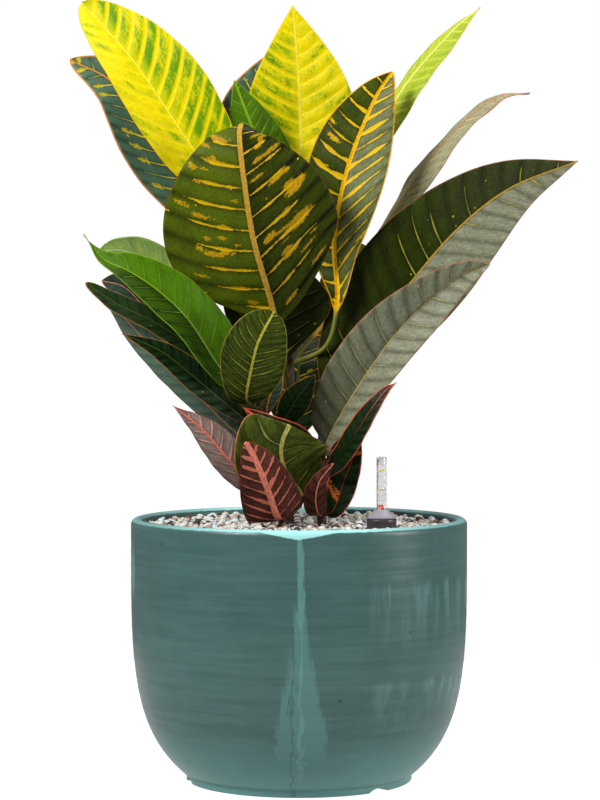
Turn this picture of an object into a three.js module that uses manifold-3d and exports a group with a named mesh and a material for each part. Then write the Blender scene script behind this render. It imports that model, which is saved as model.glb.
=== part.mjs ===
// Potted croton: a variegated shrub on three short stems, rooted in loose mineral granules
// in a round glazed pot, with a water-level gauge standing in the granules.
// Millimetres, +Z up. The pot's front faces -Y, and the origin is on the pot's axis at the ground.
import * as THREE from 'three';
import { mergeVertices } from 'three/addons/utils/BufferGeometryUtils.js';
import Module from 'manifold-3d';

const wasm = await Module();
wasm.setup();

// Touching pieces keep this gap
const GAP = 0.3;

// Pot: a barrel with a rounded belly, a full-round lip and a low foot.
// The belly bends from the foot out to the barrel, pulled by its two control points.
const POT_RADIUS = 125;
const POT_HEIGHT = 195;
const POT_WALL = 9;
const POT_FLOOR = 10;
const POT_SIDES = 40;
const BELLY = { foot: [86, 6], pulls: [[119, 34], [125, 72]], top: 150, steps: 7 };
const LIP_STEPS = 4;
const FLOOR_CHAMFER = 12;
const FLOOR_CLEAR = 2;
const FOOT = { radius: 84, edge: 1, top: 5.2 };
const FOOT_GROOVE = { inner: 60, outer: 70, depth: 3.5, slope: 2 };
const FOOT_NOTCH = { count: 3, width: 18, height: 3.2, length: 30, first: -46 };

// Granules: a fill whose top is a field of grains
const FILL_TOP = 190.5;
const GRAIN_PITCH = 6.2;
const GRAIN_RISE = 2;
const GRAIN_JITTER = 0.3;

// Water gauge: a slotted sleeve sunk in the granules, a clear sight tube, a float on a rod
const ROUND_SIDES = 16;
const SLEEVE = { x: 60, y: -46, radius: 10.9, wall: 2.2, bottom: 24, floor: 2, drain: 3, top: 197.5 };
const SLEEVE_SLOT = { width: 3, length: 40, count: 4, start: 6 };
const SIGHT_TUBE = { radius: 3.7, bore: 2.7, top: 242.4, roof: 1.2, flange: 10.6, rim: 1.6, shoulder: 6.5 };
const FLOAT = { radius: 7.6, edge: 1, length: 40, rod: 0.9, head: 2.1, headLength: 4.5, headTop: 208 };

// Blades
const BLADE = 0.8;
const MIDRIB = 2;
const PETIOLE = 3.2;

// Stems, root end first; each is a tapering tube whose leaf scars swell it slightly
const STEMS = {
  main: { path: [[-9, 8, 128], [-8, 8, 200], [-7, 7, 300], [-4, 7, 360], [0, 6, 412]], radius: [4.6, 3] },
  left: { path: [[-12, -5, 140], [-13, -6, 200], [-21, -8, 245], [-28, -9, 290]], radius: [3.6, 2.4] },
  right: { path: [[16, 2, 136], [17, 1, 200], [17, 2, 262]], radius: [4, 3] },
};

// Each leaf leaves its stem at the height `at` and runs through the points given. `turn` is how
// far the upper face is turned from the front towards the leaf's right, `twist` what it gains
// from base to tip, `fold` how far each half is raised at the base and at the tip, in degrees.
// `ends` shapes the blade's base and tip: under 1 is round, over 1 is drawn out.
// `wave` is the margin's ripple: its height and how many there are.
const LEAVES = {
  leaf_yellow_left: {
    stem: 'main', at: 364, petiole: 28,
    through: [[-27, -6, 401], [-74, -14, 462], [-121, -12, 531], [-161, -2, 578]],
    width: 76, widest: 0.6, ends: [1, 0.6], turn: 22, twist: 4, fold: [30, 26], wave: [2, 2],
  },
  leaf_blue_left: {
    stem: 'main', at: 355, petiole: 30,
    through: [[-51, 8, 402], [-100, 2, 461], [-134, 0, 514], [-170, 2, 535]],
    width: 58, widest: 0.56, ends: [1, 0.7], turn: 20, twist: 0, fold: [16, 12], wave: [1.2, 2],
  },
  leaf_yellow_crown: {
    stem: 'main', at: 410, petiole: 14,
    through: [[1, 10, 440], [1, 14, 481], [-1, 14, 529], [-5, 12, 578]],
    width: 85, widest: 0.42, ends: [0.8, 1], turn: 4, twist: 0, fold: [12, 14], wave: [1, 2],
  },
  leaf_blue_crown: {
    stem: 'main', at: 392, petiole: 20,
    through: [[-28, 26, 455], [-35, 32, 496], [-15, 34, 547]],
    width: 54, widest: 0.5, ends: [0.9, 0.8], turn: -10, twist: 0, fold: [8, 8], wave: [1, 2],
  },
  leaf_green_bud: {
    stem: 'main', at: 400, petiole: 22,
    through: [[-18, -4, 442], [-35, -6, 485], [-48, -4, 519]],
    width: 42, widest: 0.42, ends: [0.9, 0.9], turn: 12, twist: 0, fold: [8, 8], wave: [0.5, 2],
  },
  leaf_broad_front: {
    stem: 'main', at: 290, petiole: 58,
    through: [
      [-13, -16, 318], [-20, -28, 353], [-33, -49, 400],
      [-40, -58, 445], [-43, -55, 474], [-42, -46, 484],
    ],
    width: 129, widest: 0.47, ends: [0.9, 0.66], turn: 0, twist: 0, fold: [-5, -11], wave: [1.5, 2],
  },
  leaf_striped_right: {
    stem: 'main', at: 309, petiole: 60,
    through: [
      [20, -14, 323], [28, -20, 357], [26, -18, 401],
      [35, -14, 451], [54, -6, 501], [69, 4, 526],
    ],
    width: 62, widest: 0.56, ends: [1.1, 0.8], turn: 0, twist: 0, fold: [22, 20], wave: [3.6, 2.2],
  },
  leaf_lime_right: {
    stem: 'main', at: 348, petiole: 60,
    through: [[27, 22, 417], [72, 24, 506], [111, 20, 554], [135, 12, 575]],
    width: 40, widest: 0.6, ends: [1, 0.85], turn: -62, twist: 0, fold: [-11, -11], wave: [1, 3],
  },
  leaf_slim_right: {
    stem: 'main', at: 322, petiole: 60,
    through: [[35, 18, 364], [74, 18, 427], [110, 14, 476], [146, 12, 507], [172, 10, 511]],
    width: 34, widest: 0.5, ends: [1, 1.1], turn: -65, twist: 0, fold: [-10, -10], wave: [1, 3],
  },
  leaf_long_right: {
    stem: 'right', at: 254, petiole: 24,
    through: [
      [23, -8, 279], [42, -12, 318], [82, -14, 369],
      [118, -10, 410], [157, -5, 440], [207, 0, 460],
    ],
    width: 86, widest: 0.4, ends: [0.75, 1], turn: -14, twist: 46, fold: [16, 14], wave: [1.2, 3],
  },
  leaf_grey_right: {
    stem: 'right', at: 236, petiole: 10,
    through: [
      [24, -20, 259], [42, -34, 291], [69, -42, 330],
      [96, -43, 358], [118, -40, 375], [139, -34, 383],
    ],
    width: 58, widest: 0.42, ends: [0.6, 0.75], turn: -18, twist: 66, fold: [30, 36], wave: [1, 2],
  },
  leaf_green_left: {
    stem: 'left', at: 286, petiole: 26,
    through: [
      [-52, -28, 299], [-80, -44, 341], [-101, -50, 362],
      [-123, -50, 377], [-142, -44, 386], [-157, -36, 404],
    ],
    width: 51, widest: 0.3, ends: [0.8, 1.3], turn: 34, twist: 0, fold: [28, 22], wave: [3, 1.5],
  },
  leaf_pale_left: {
    stem: 'left', at: 288, petiole: 14,
    through: [[-50, -4, 321], [-85, -21, 362], [-111, -28, 386], [-130, -32, 393], [-146, -32, 392]],
    width: 30, widest: 0.7, ends: [1, 0.55], turn: 165, twist: 0, fold: [6, 6], wave: [1, 2],
  },
  leaf_dark_left: {
    stem: 'left', at: 275, petiole: 12,
    through: [[-44, -16, 283], [-69, -24, 314], [-104, -30, 339], [-132, -32, 353], [-156, -32, 369]],
    width: 24, widest: 0.6, ends: [0.8, 0.55], turn: 45, twist: 0, fold: [8, 8], wave: [0.6, 2],
  },
  leaf_grey_left: {
    stem: 'left', at: 268, petiole: 16,
    through: [[-73, -2, 312], [-110, -6, 347], [-129, -8, 366], [-146, -8, 371]],
    width: 46, widest: 0.55, ends: [0.9, 0.7], turn: 10, twist: 0, fold: [8, 8], wave: [0.8, 2],
  },
  leaf_low_left: {
    stem: 'left', at: 241, petiole: 9,
    through: [[-45, -14, 258], [-79, -22, 291], [-112, -24, 326], [-143, -24, 360]],
    width: 28, widest: 0.6, ends: [0.6, 0.8], turn: 155, twist: 0, fold: [6, 6], wave: [0.6, 2],
  },
  leaf_low_left_inner: {
    stem: 'left', at: 256, petiole: 12,
    through: [[-46, -25, 274], [-75, -38, 299], [-100, -46, 319], [-128, -50, 332]],
    width: 22, widest: 0.5, ends: [0.8, 1], turn: 20, twist: 0, fold: [10, 10], wave: [0.5, 2],
  },
  leaf_oval_front: {
    stem: 'left', at: 284, petiole: 12,
    through: [[-38, -36, 284], [-34, -54, 309], [-29, -62, 327], [-18, -64, 348]],
    width: 48, widest: 0.6, ends: [1, 0.45], turn: 0, twist: 0, fold: [6, 6], wave: [0.8, 2],
  },
  leaf_folded_front: {
    stem: 'left', at: 203, petiole: 8,
    through: [[2, -20, 213], [-8, -34, 228], [-13, -43, 243], [-12, -47.5, 255], [-7, -49, 266]],
    width: 74, widest: 0.84, ends: [0.8, 0.2], turn: 4, twist: 0, fold: [8, 2], wave: [0.5, 2],
  },
  leaf_dark_tip: {
    stem: 'right', at: 215, petiole: 24,
    through: [[13, -19, 236], [0, -34, 254], [-20, -37, 264], [-41, -32, 278]],
    width: 20, widest: 0.5, ends: [0.8, 0.9], turn: 0, twist: 0, fold: [4, 4], wave: [0.3, 2],
  },
  leaf_maroon_front: {
    stem: 'left', at: 195.5, petiole: 5,
    through: [[-16, -32, 198], [-23, -55, 220], [-31, -70, 241], [-38, -80, 255]],
    width: 45, widest: 0.3, ends: [0.5, 0.66], turn: 180, twist: 0, fold: [8, 8], wave: [0.6, 2],
  },
  leaf_maroon_left: {
    stem: 'left', at: 206, petiole: 8,
    through: [[-27, -22, 214], [-50, -40, 239], [-69, -50, 262], [-91, -56, 280]],
    width: 32, widest: 0.45, ends: [0.8, 1], turn: 150, twist: 0, fold: [8, 8], wave: [0.6, 2],
  },
  leaf_maroon_right: {
    stem: 'right', at: 197, petiole: 5,
    through: [[14, -22, 200], [12, -36, 211], [15, -44, 225], [25, -48, 238]],
    width: 18, widest: 0.5, ends: [0.8, 0.8], turn: -170, twist: 0, fold: [8, 8], wave: [0.4, 2],
  },
  leaf_coral_tip: {
    stem: 'right', at: 222, petiole: 9,
    through: [[28, -32, 238], [39, -55, 256], [50, -66, 275], [61, -68, 290], [70, -66, 297]],
    width: 18, widest: 0.5, ends: [0.7, 0.8], turn: -30, twist: 0, fold: [8, 8], wave: [0.5, 2],
  },
  leaf_coral_edge: {
    stem: 'right', at: 197, petiole: 5,
    through: [[26, -8.5, 202], [34.5, -14, 226], [46, -17, 254]],
    width: 22, widest: 0.45, ends: [0.6, 0.9], turn: -15, twist: 0, fold: [8, 8], wave: [0.4, 2],
  },
  leaf_small_centre: {
    stem: 'left', at: 258, petiole: 8,
    through: [[-10, -17, 271], [-1, -26, 285], [12, -34, 302]],
    width: 22, widest: 0.5, ends: [0.8, 0.9], turn: 0, twist: 0, fold: [10, 10], wave: [0.4, 2],
  },
  leaf_small_grey: {
    stem: 'left', at: 264, petiole: 8,
    through: [[-23, -18, 281], [-17, -27, 296], [-12, -30, 307]],
    width: 15, widest: 0.5, ends: [0.8, 0.9], turn: 0, twist: 0, fold: [8, 8], wave: [0.3, 2],
  },
  leaf_dark_behind: {
    stem: 'main', at: 300, petiole: 14,
    through: [[-15, -8, 331], [-16, -10, 360], [-13, -10, 386]],
    width: 80, widest: 0.6, ends: [0.9, 0.5], turn: 0, twist: 0, fold: [3, 3], wave: [0.6, 2],
  },
  leaf_torn_right: {
    stem: 'right', at: 228, petiole: 8,
    through: [[31, -4, 248], [38, -8, 262], [46, -8, 276]],
    width: 26, widest: 0.5, ends: [0.8, 0.9], turn: -20, twist: 0, fold: [8, 8], wave: [0.6, 2],
  },
  leaf_rear_left: {
    stem: 'main', at: 300, petiole: 30,
    through: [[-30, 60, 370], [-50, 110, 420], [-60, 140, 430]],
    width: 66, widest: 0.52, ends: [1, 0.8], turn: 0, twist: 0, fold: [14, 10], wave: [1.2, 2],
  },
  leaf_rear_right: {
    stem: 'main', at: 310, petiole: 30,
    through: [[34, 60, 356], [58, 110, 386], [70, 140, 378]],
    width: 58, widest: 0.5, ends: [1, 0.8], turn: 0, twist: 0, fold: [12, 10], wave: [1.2, 2],
  },
  leaf_rear_low: {
    stem: 'main', at: 232, petiole: 24,
    through: [[-3, 30, 268], [0, 56, 308], [4, 96, 332], [8, 136, 326]],
    width: 62, widest: 0.4, ends: [0.7, 0.8], turn: 0, twist: 0, fold: [10, 10], wave: [1.2, 2],
  },
  leaf_rear_low_left: {
    stem: 'main', at: 240, petiole: 24,
    through: [[-45, 50, 280], [-72, 90, 302], [-90, 110, 305]],
    width: 50, widest: 0.5, ends: [1, 0.8], turn: 0, twist: 0, fold: [12, 10], wave: [1, 2],
  },
  leaf_rear_low_right: {
    stem: 'right', at: 244, petiole: 20,
    through: [[32, 50, 262], [38, 88, 280], [38, 112, 284]],
    width: 36, widest: 0.5, ends: [1, 0.8], turn: 0, twist: 0, fold: [12, 10], wave: [1, 2],
  },
  leaf_rear_top: {
    stem: 'main', at: 402, petiole: 20,
    through: [[5, 42, 450], [8, 75, 500], [5, 95, 530]],
    width: 54, widest: 0.5, ends: [1, 0.8], turn: 0, twist: 0, fold: [14, 12], wave: [1.2, 2],
  },
  leaf_rear_upper_left: {
    stem: 'main', at: 380, petiole: 26,
    through: [[-35, 50, 430], [-70, 88, 470], [-85, 104, 480]],
    width: 56, widest: 0.5, ends: [1, 0.8], turn: 0, twist: 0, fold: [14, 12], wave: [1.2, 2],
  },
  leaf_rear_upper_right: {
    stem: 'main', at: 370, petiole: 26,
    through: [[24, 46, 420], [44, 78, 455], [54, 98, 470]],
    width: 48, widest: 0.5, ends: [1, 0.8], turn: 0, twist: 0, fold: [14, 12], wave: [1.2, 2],
  },
  leaf_rear_maroon_left: {
    stem: 'main', at: 208, petiole: 10,
    through: [[-34, 34, 234], [-58, 62, 254]],
    width: 30, widest: 0.5, ends: [0.8, 0.8], turn: 0, twist: 0, fold: [8, 8], wave: [0.6, 2],
  },
  leaf_rear_maroon_right: {
    stem: 'right', at: 208, petiole: 10,
    through: [[24, 50, 226], [30, 85, 234]],
    width: 26, widest: 0.5, ends: [0.8, 0.8], turn: 0, twist: 0, fold: [8, 8], wave: [0.6, 2],
  },
};

// One solid for manifold-3d, from a geometry whose equal vertices are merged
const WELD = 1e-4;

function toSolid(geometry) {
  const bare = new THREE.BufferGeometry();
  bare.setAttribute('position', geometry.getAttribute('position').clone());
  if (geometry.index) bare.setIndex(geometry.index.clone());
  const merged = mergeVertices(bare, WELD);
  const index = merged.index.array;
  const kept = [];
  for (let i = 0; i < index.length; i += 3) {
    const [a, b, c] = [index[i], index[i + 1], index[i + 2]];
    if (a !== b && b !== c && a !== c) kept.push(a, b, c);
  }
  return new wasm.Manifold(new wasm.Mesh({
    numProp: 3,
    vertProperties: new Float32Array(merged.getAttribute('position').array),
    triVerts: new Uint32Array(kept),
  }));
}

function toGeometry(solid) {
  const mesh = solid.getMesh();
  const geometry = new THREE.BufferGeometry();
  geometry.setAttribute('position', new THREE.BufferAttribute(new Float32Array(mesh.vertProperties), 3));
  geometry.setIndex(new THREE.BufferAttribute(new Uint32Array(mesh.triVerts), 1));
  return geometry;
}

// Body through rings of points that run clockwise as seen along the sweep. The second half of
// a ring is split the other way, so that both faces of a thin blade have the same diagonals.
function sweepRings(rings) {
  const count = rings[0].length;
  const positions = rings.flat().flatMap((point) => [point.x, point.y, point.z]);
  const index = [];
  for (let i = 0; i < rings.length - 1; i += 1) {
    for (let k = 0; k < count; k += 1) {
      const next = (k + 1) % count;
      const [a, b, c, d] = [i * count + k, i * count + next, (i + 1) * count + next, (i + 1) * count + k];
      if (k < count / 2) index.push(a, b, c, a, c, d);
      else index.push(a, b, d, b, c, d);
    }
  }
  const last = (rings.length - 1) * count;
  for (let k = 0; k < count / 2 - 1; k += 1) {
    const [p, q, r, s] = [k, k + 1, count - 2 - k, count - 1 - k];
    index.push(p, r, q, p, s, r);
    index.push(last + p, last + q, last + r, last + p, last + r, last + s);
  }
  const geometry = new THREE.BufferGeometry();
  geometry.setAttribute('position', new THREE.Float32BufferAttribute(positions, 3));
  geometry.setIndex(index);
  return geometry;
}

// A smooth line through the points given
const CURVE_TENSION = 0.5;

function curveThrough(points) {
  const places = points.map((p) => new THREE.Vector3(...p));
  return new THREE.CatmullRomCurve3(places, false, 'catmullrom', CURVE_TENSION);
}

// Stems
const STEM_SIDES = 8;
const STEM_STEP = 18;
const SCAR_SWELL = 0.25;

function stemGeometry(stem, grown) {
  const curve = curveThrough(stem.path);
  const steps = Math.round(curve.getLength() / STEM_STEP);
  const rings = [];
  for (let i = 0; i <= steps; i += 1) {
    const s = i / steps;
    const along = curve.getTangentAt(s);
    const front = new THREE.Vector3(0, -1, 0).addScaledVector(along, along.y).normalize();
    const right = new THREE.Vector3().crossVectors(along, front);
    const swell = i % 2 ? SCAR_SWELL : 0;
    const radius = THREE.MathUtils.lerp(stem.radius[0], stem.radius[1], s) + swell + grown;
    const centre = curve.getPointAt(s);
    if (i === 0) centre.addScaledVector(along, -grown);
    if (i === steps) centre.addScaledVector(along, grown);
    const ring = [];
    for (let k = 0; k < STEM_SIDES; k += 1) {
      const angle = Math.PI - (k + 0.5) * 2 * Math.PI / STEM_SIDES;
      ring.push(centre.clone()
        .addScaledVector(right, radius * Math.cos(angle))
        .addScaledVector(front, radius * Math.sin(angle)));
    }
    rings.push(ring);
  }
  return sweepRings(rings);
}

// Place on a stem's axis, found by halving the stem until the height is met
const HALVINGS = 40;

function stemPointAt(stem, height) {
  const curve = curveThrough(stem.path);
  let low = 0;
  let high = 1;
  for (let i = 0; i < HALVINGS; i += 1) {
    const middle = (low + high) / 2;
    if (curve.getPointAt(middle).z < height) low = middle;
    else high = middle;
  }
  return curve.getPointAt(low).toArray();
}

// Leaves: rows along the midrib, each a ring of five points above and five below
const PETIOLE_ROWS = [0, 0.55, 0.98];
const BLADE_ROWS = [0.06, 0.17, 0.31, 0.46, 0.61, 0.76, 0.89, 1];
const ACROSS = [-1, -0.55, 0, 0.55, 1];
const BLADE_SPREAD = 0.12;
const PETIOLE_HOLLOW = 0.9;
const FRAME_STEPS = 80;

// Frames that follow the midrib without spinning, set by `turn` at the middle of the leaf
function leafFrames(leaf, curve) {
  const tangents = [];
  for (let i = 0; i <= FRAME_STEPS; i += 1) tangents.push(curve.getTangentAt(i / FRAME_STEPS));
  const middle = FRAME_STEPS / 2;
  const normals = [];
  const along = tangents[middle];
  normals[middle] = new THREE.Vector3(0, -1, 0).addScaledVector(along, along.y).normalize()
    .applyAxisAngle(along, THREE.MathUtils.degToRad(leaf.turn));
  const carry = (from, to) => {
    normals[to] = normals[from].clone()
      .addScaledVector(tangents[to], -normals[from].dot(tangents[to])).normalize();
  };
  for (let i = middle; i < FRAME_STEPS; i += 1) carry(i, i + 1);
  for (let i = middle; i > 0; i -= 1) carry(i, i - 1);
  return (s) => {
    const i = Math.round(s * FRAME_STEPS);
    const twist = THREE.MathUtils.degToRad(leaf.twist * (s - 0.5));
    const tangent = curve.getTangentAt(s);
    const normal = normals[i].clone().addScaledVector(tangent, -normals[i].dot(tangent)).normalize()
      .applyAxisAngle(tangent, twist);
    return { normal, across: new THREE.Vector3().crossVectors(tangent, normal) };
  };
}

function bladeHalfWidth(leaf, t) {
  const rise = t < leaf.widest
    ? Math.sin(Math.PI / 2 * t / leaf.widest) ** leaf.ends[0]
    : Math.sin(Math.PI / 2 * (1 - t) / (1 - leaf.widest)) ** leaf.ends[1];
  return leaf.width / 2 * rise;
}

function leafGeometry(leaf) {
  const curve = curveThrough([stemPointAt(STEMS[leaf.stem], leaf.at), ...leaf.through]);
  const frameAt = leafFrames(leaf, curve);
  const bladeStart = leaf.petiole / curve.getLength();
  const rows = PETIOLE_ROWS.map((t) => t * bladeStart);
  for (const t of BLADE_ROWS) rows.push(bladeStart + t * (1 - bladeStart));
  const rings = rows.map((s) => {
    const t = Math.max(0, (s - bladeStart) / (1 - bladeStart));
    const { normal, across } = frameAt(s);
    const centre = curve.getPointAt(s);
    const blade = THREE.MathUtils.smoothstep(t, 0, BLADE_SPREAD);
    const halfWidth = Math.max(PETIOLE / 2 * (1 - t), bladeHalfWidth(leaf, t), BLADE / 2);
    const fold = THREE.MathUtils.degToRad(THREE.MathUtils.lerp(leaf.fold[0], leaf.fold[1], t)) * blade;
    const [waveHeight, waves] = leaf.wave;
    const upper = [];
    const lower = [];
    for (const u of ACROSS) {
      const side = Math.sign(u);
      const ripple = waveHeight * u * u * Math.sin(2 * Math.PI * waves * t + side) * blade;
      const out = halfWidth * u * Math.cos(fold);
      const up = halfWidth * Math.abs(u) * Math.sin(fold) + ripple;
      const round = PETIOLE * Math.sqrt(1 - PETIOLE_HOLLOW * u * u);
      const flat = BLADE + (MIDRIB - BLADE) * (1 - t) * (1 - Math.abs(u)) ** 3;
      const thick = THREE.MathUtils.lerp(round, flat, blade) / 2;
      const face = normal.clone().multiplyScalar(Math.cos(fold))
        .addScaledVector(across, -side * Math.sin(fold));
      const point = centre.clone().addScaledVector(across, out).addScaledVector(normal, up);
      upper.push(point.clone().addScaledVector(face, thick));
      lower.unshift(point.clone().addScaledVector(face, -thick));
    }
    return [...upper, ...lower];
  });
  return sweepRings(rings);
}

// Pot
function latheGeometry(profile, sides) {
  const outline = profile.map(([r, z]) => new THREE.Vector2(r, z));
  return new THREE.LatheGeometry(outline, sides).rotateX(Math.PI / 2);
}

function bellyOutline() {
  const belly = new THREE.CubicBezierCurve(
    new THREE.Vector2(...BELLY.foot),
    new THREE.Vector2(...BELLY.pulls[0]),
    new THREE.Vector2(...BELLY.pulls[1]),
    new THREE.Vector2(POT_RADIUS, BELLY.top),
  );
  return belly.getPoints(BELLY.steps).map((p) => [p.x, p.y]);
}

// The inner face follows the belly at `inset`, measured square to it, down to the floor
function innerOutline(inset, floor) {
  const outline = bellyOutline();
  const inner = outline.map(([r, z], i) => {
    const [r0, z0] = outline[Math.max(0, i - 1)];
    const [r1, z1] = outline[Math.min(outline.length - 1, i + 1)];
    const slope = Math.hypot(r1 - r0, z1 - z0);
    return [r - inset * (z1 - z0) / slope, z + inset * (r1 - r0) / slope];
  });
  const above = inner.filter(([, z]) => z > floor + FLOOR_CLEAR);
  return [[0, floor], [above[0][0] - FLOOR_CHAMFER, floor], ...above];
}

function potSolid() {
  const lip = [];
  const lipRadius = POT_WALL / 2;
  for (let i = 0; i <= LIP_STEPS; i += 1) {
    const angle = i * Math.PI / LIP_STEPS;
    const r = POT_RADIUS - lipRadius + lipRadius * Math.cos(angle);
    lip.push([r, POT_HEIGHT - lipRadius + lipRadius * Math.sin(angle)]);
  }
  const profile = [
    [0, 0],
    [FOOT_GROOVE.inner, 0],
    [FOOT_GROOVE.inner + FOOT_GROOVE.slope, FOOT_GROOVE.depth],
    [FOOT_GROOVE.outer - FOOT_GROOVE.slope, FOOT_GROOVE.depth],
    [FOOT_GROOVE.outer, 0],
    [FOOT.radius - FOOT.edge, 0],
    [FOOT.radius, FOOT.edge],
    [FOOT.radius, FOOT.top],
    ...bellyOutline(),
    ...lip,
    ...innerOutline(POT_WALL, POT_FLOOR).reverse(),
  ];
  let solid = toSolid(latheGeometry(profile, POT_SIDES));
  const arch = new THREE.Shape();
  arch.absellipse(0, 0, FOOT_NOTCH.width / 2, FOOT_NOTCH.height, 0, 2 * Math.PI);
  for (let i = 0; i < FOOT_NOTCH.count; i += 1) {
    const cut = { depth: FOOT_NOTCH.length, bevelEnabled: false, curveSegments: 6 };
    const notch = new THREE.ExtrudeGeometry(arch, cut);
    notch.rotateX(Math.PI / 2).rotateZ(Math.PI / 2);
    notch.translate(FOOT_GROOVE.outer - FOOT_GROOVE.slope - 1, 0, 0);
    notch.rotateZ(THREE.MathUtils.degToRad(FOOT_NOTCH.first + i * 360 / FOOT_NOTCH.count));
    solid = solid.subtract(toSolid(notch));
  }
  return solid;
}

// Fixed sequence of numbers from 0 to 1
const RANDOM_STEP = [1664525, 1013904223];
const RANDOM_SPAN = 2 ** 32;

function seededRandom(seed) {
  let state = seed;
  return () => {
    state = (Math.imul(state, RANDOM_STEP[0]) + RANDOM_STEP[1]) >>> 0;
    return state / RANDOM_SPAN;
  };
}

// Block whose top is a triangular lattice; every third point is a grain's crown
function grainBlock() {
  const random = seededRandom(7);
  const half = Math.ceil(POT_RADIUS / GRAIN_PITCH);
  const count = 2 * half + 1;
  const rowStep = GRAIN_PITCH * Math.sqrt(3) / 2;
  const rowHalf = Math.ceil(POT_RADIUS / rowStep);
  const rowCount = 2 * rowHalf + 1;
  const positions = [];
  for (const jitter of [GRAIN_JITTER, 0]) {
    for (let j = 0; j < rowCount; j += 1) {
      for (let i = 0; i < count; i += 1) {
        const shift = j % 2 ? 0.25 : -0.25;
        const crown = (i + 2 * (j % 2)) % 3 === 0;
        const level = crown ? GRAIN_RISE * (0.4 + 0.6 * random()) : -random();
        const x = (i - half + shift + jitter * (random() - 0.5)) * GRAIN_PITCH;
        const y = (j - rowHalf + jitter * (random() - 0.5)) * rowStep;
        positions.push(x, y, jitter ? FILL_TOP + level : 0);
      }
    }
  }
  const layer = count * rowCount;
  const index = [];
  for (let j = 0; j < rowCount - 1; j += 1) {
    for (let i = 0; i < count - 1; i += 1) {
      const [a, b, c, d] = [j * count + i, j * count + i + 1, (j + 1) * count + i + 1, (j + 1) * count + i];
      const cells = j % 2 ? [[a, b, c], [a, c, d]] : [[a, b, d], [b, c, d]];
      for (const [p, q, r] of cells) index.push(p, q, r, layer + p, layer + r, layer + q);
    }
  }
  const rim = [];
  for (let i = 0; i < count - 1; i += 1) rim.push(i);
  for (let j = 0; j < rowCount - 1; j += 1) rim.push(j * count + count - 1);
  for (let i = count - 1; i > 0; i -= 1) rim.push((rowCount - 1) * count + i);
  for (let j = rowCount - 1; j > 0; j -= 1) rim.push(j * count);
  rim.forEach((p, k) => {
    const q = rim[(k + 1) % rim.length];
    index.push(p, layer + p, layer + q, p, layer + q, q);
  });
  const geometry = new THREE.BufferGeometry();
  geometry.setAttribute('position', new THREE.Float32BufferAttribute(positions, 3));
  geometry.setIndex(index);
  return geometry;
}

function largestBody(solid) {
  return solid.decompose().sort((a, b) => b.volume() - a.volume())[0];
}

function gaugeLathe(profile) {
  return latheGeometry(profile, ROUND_SIDES).translate(SLEEVE.x, SLEEVE.y, 0);
}

// The stems and the gauge stand in plain holes
function substrateSolid() {
  const profile = [
    ...innerOutline(POT_WALL + GAP, POT_FLOOR + GAP),
    [POT_RADIUS - POT_WALL - GAP, POT_HEIGHT],
    [0, POT_HEIGHT],
  ];
  let solid = toSolid(latheGeometry(profile, POT_SIDES)).intersect(toSolid(grainBlock()));
  for (const stem of Object.values(STEMS)) solid = solid.subtract(toSolid(stemGeometry(stem, GAP)));
  const [hole, base] = [SLEEVE.radius + GAP, SLEEVE.bottom - GAP];
  solid = solid.subtract(toSolid(gaugeLathe([[0, base], [hole, base], [hole, POT_HEIGHT], [0, POT_HEIGHT]])));
  return largestBody(solid);
}

// Water gauge
function sleeveSolid() {
  const { radius, wall, bottom, top, drain } = SLEEVE;
  const profile = [
    [drain, bottom],
    [radius, bottom],
    [radius, top],
    [radius - wall, top],
    [radius - wall, bottom + SLEEVE.floor],
    [drain, bottom + SLEEVE.floor],
    [drain, bottom],
  ];
  let solid = toSolid(gaugeLathe(profile));
  for (let i = 0; i < SLEEVE_SLOT.count; i += 1) {
    const slot = new THREE.BoxGeometry(3 * wall, SLEEVE_SLOT.width, SLEEVE_SLOT.length);
    slot.translate(radius, 0, bottom + SLEEVE_SLOT.start + SLEEVE_SLOT.length / 2);
    slot.rotateZ((i + 0.5) * 2 * Math.PI / SLEEVE_SLOT.count).translate(SLEEVE.x, SLEEVE.y, 0);
    solid = solid.subtract(toSolid(slot));
  }
  return solid;
}

function sightTubeGeometry() {
  const { radius, bore, top, roof, flange, rim, shoulder } = SIGHT_TUBE;
  const base = SLEEVE.top + GAP;
  const inner = SLEEVE.radius - SLEEVE.wall;
  return gaugeLathe([
    [0, top - roof],
    [bore, top - roof],
    [bore, base + shoulder - 1],
    [inner, base + rim],
    [inner, base],
    [flange, base],
    [flange, base + rim],
    [radius + 1, base + shoulder],
    [radius, base + shoulder + 1],
    [radius, top],
    [0, top],
  ]);
}

function floatGeometry() {
  const { radius, edge, rod, head, headTop, headLength } = FLOAT;
  const bottom = SLEEVE.bottom + SLEEVE.floor + GAP;
  const top = bottom + FLOAT.length;
  return gaugeLathe([
    [0, bottom],
    [radius - edge, bottom],
    [radius, bottom + edge],
    [radius, top - edge],
    [radius - edge, top],
    [rod, top],
    [rod, headTop - headLength],
    [head, headTop - headLength + edge / 2],
    [head, headTop],
    [0, headTop],
  ]);
}

// Assembly
const plant = new THREE.Group();

function addPiece(name, geometry, colour, roughness) {
  geometry.computeVertexNormals();
  const material = new THREE.MeshStandardMaterial({ color: colour, roughness, metalness: 0 });
  material.flatShading = true;
  const mesh = new THREE.Mesh(geometry, material);
  mesh.name = name;
  plant.add(mesh);
}

addPiece('pot', toGeometry(potSolid()), 0x557c7a, 0.25);
addPiece('substrate', toGeometry(substrateSolid()), 0xcfc6bb, 0.9);
addPiece('gauge_sleeve', toGeometry(sleeveSolid()), 0x3a3238, 0.5);
addPiece('gauge_tube', sightTubeGeometry(), 0xd8d8dc, 0.15);
addPiece('gauge_float', floatGeometry(), 0xb02028, 0.4);

const grownStems = {};
for (const [name, stem] of Object.entries(STEMS)) {
  addPiece(`stem_${name}`, stemGeometry(stem, 0), 0x3b2620, 0.8);
  grownStems[name] = toSolid(stemGeometry(stem, GAP));
}

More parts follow.
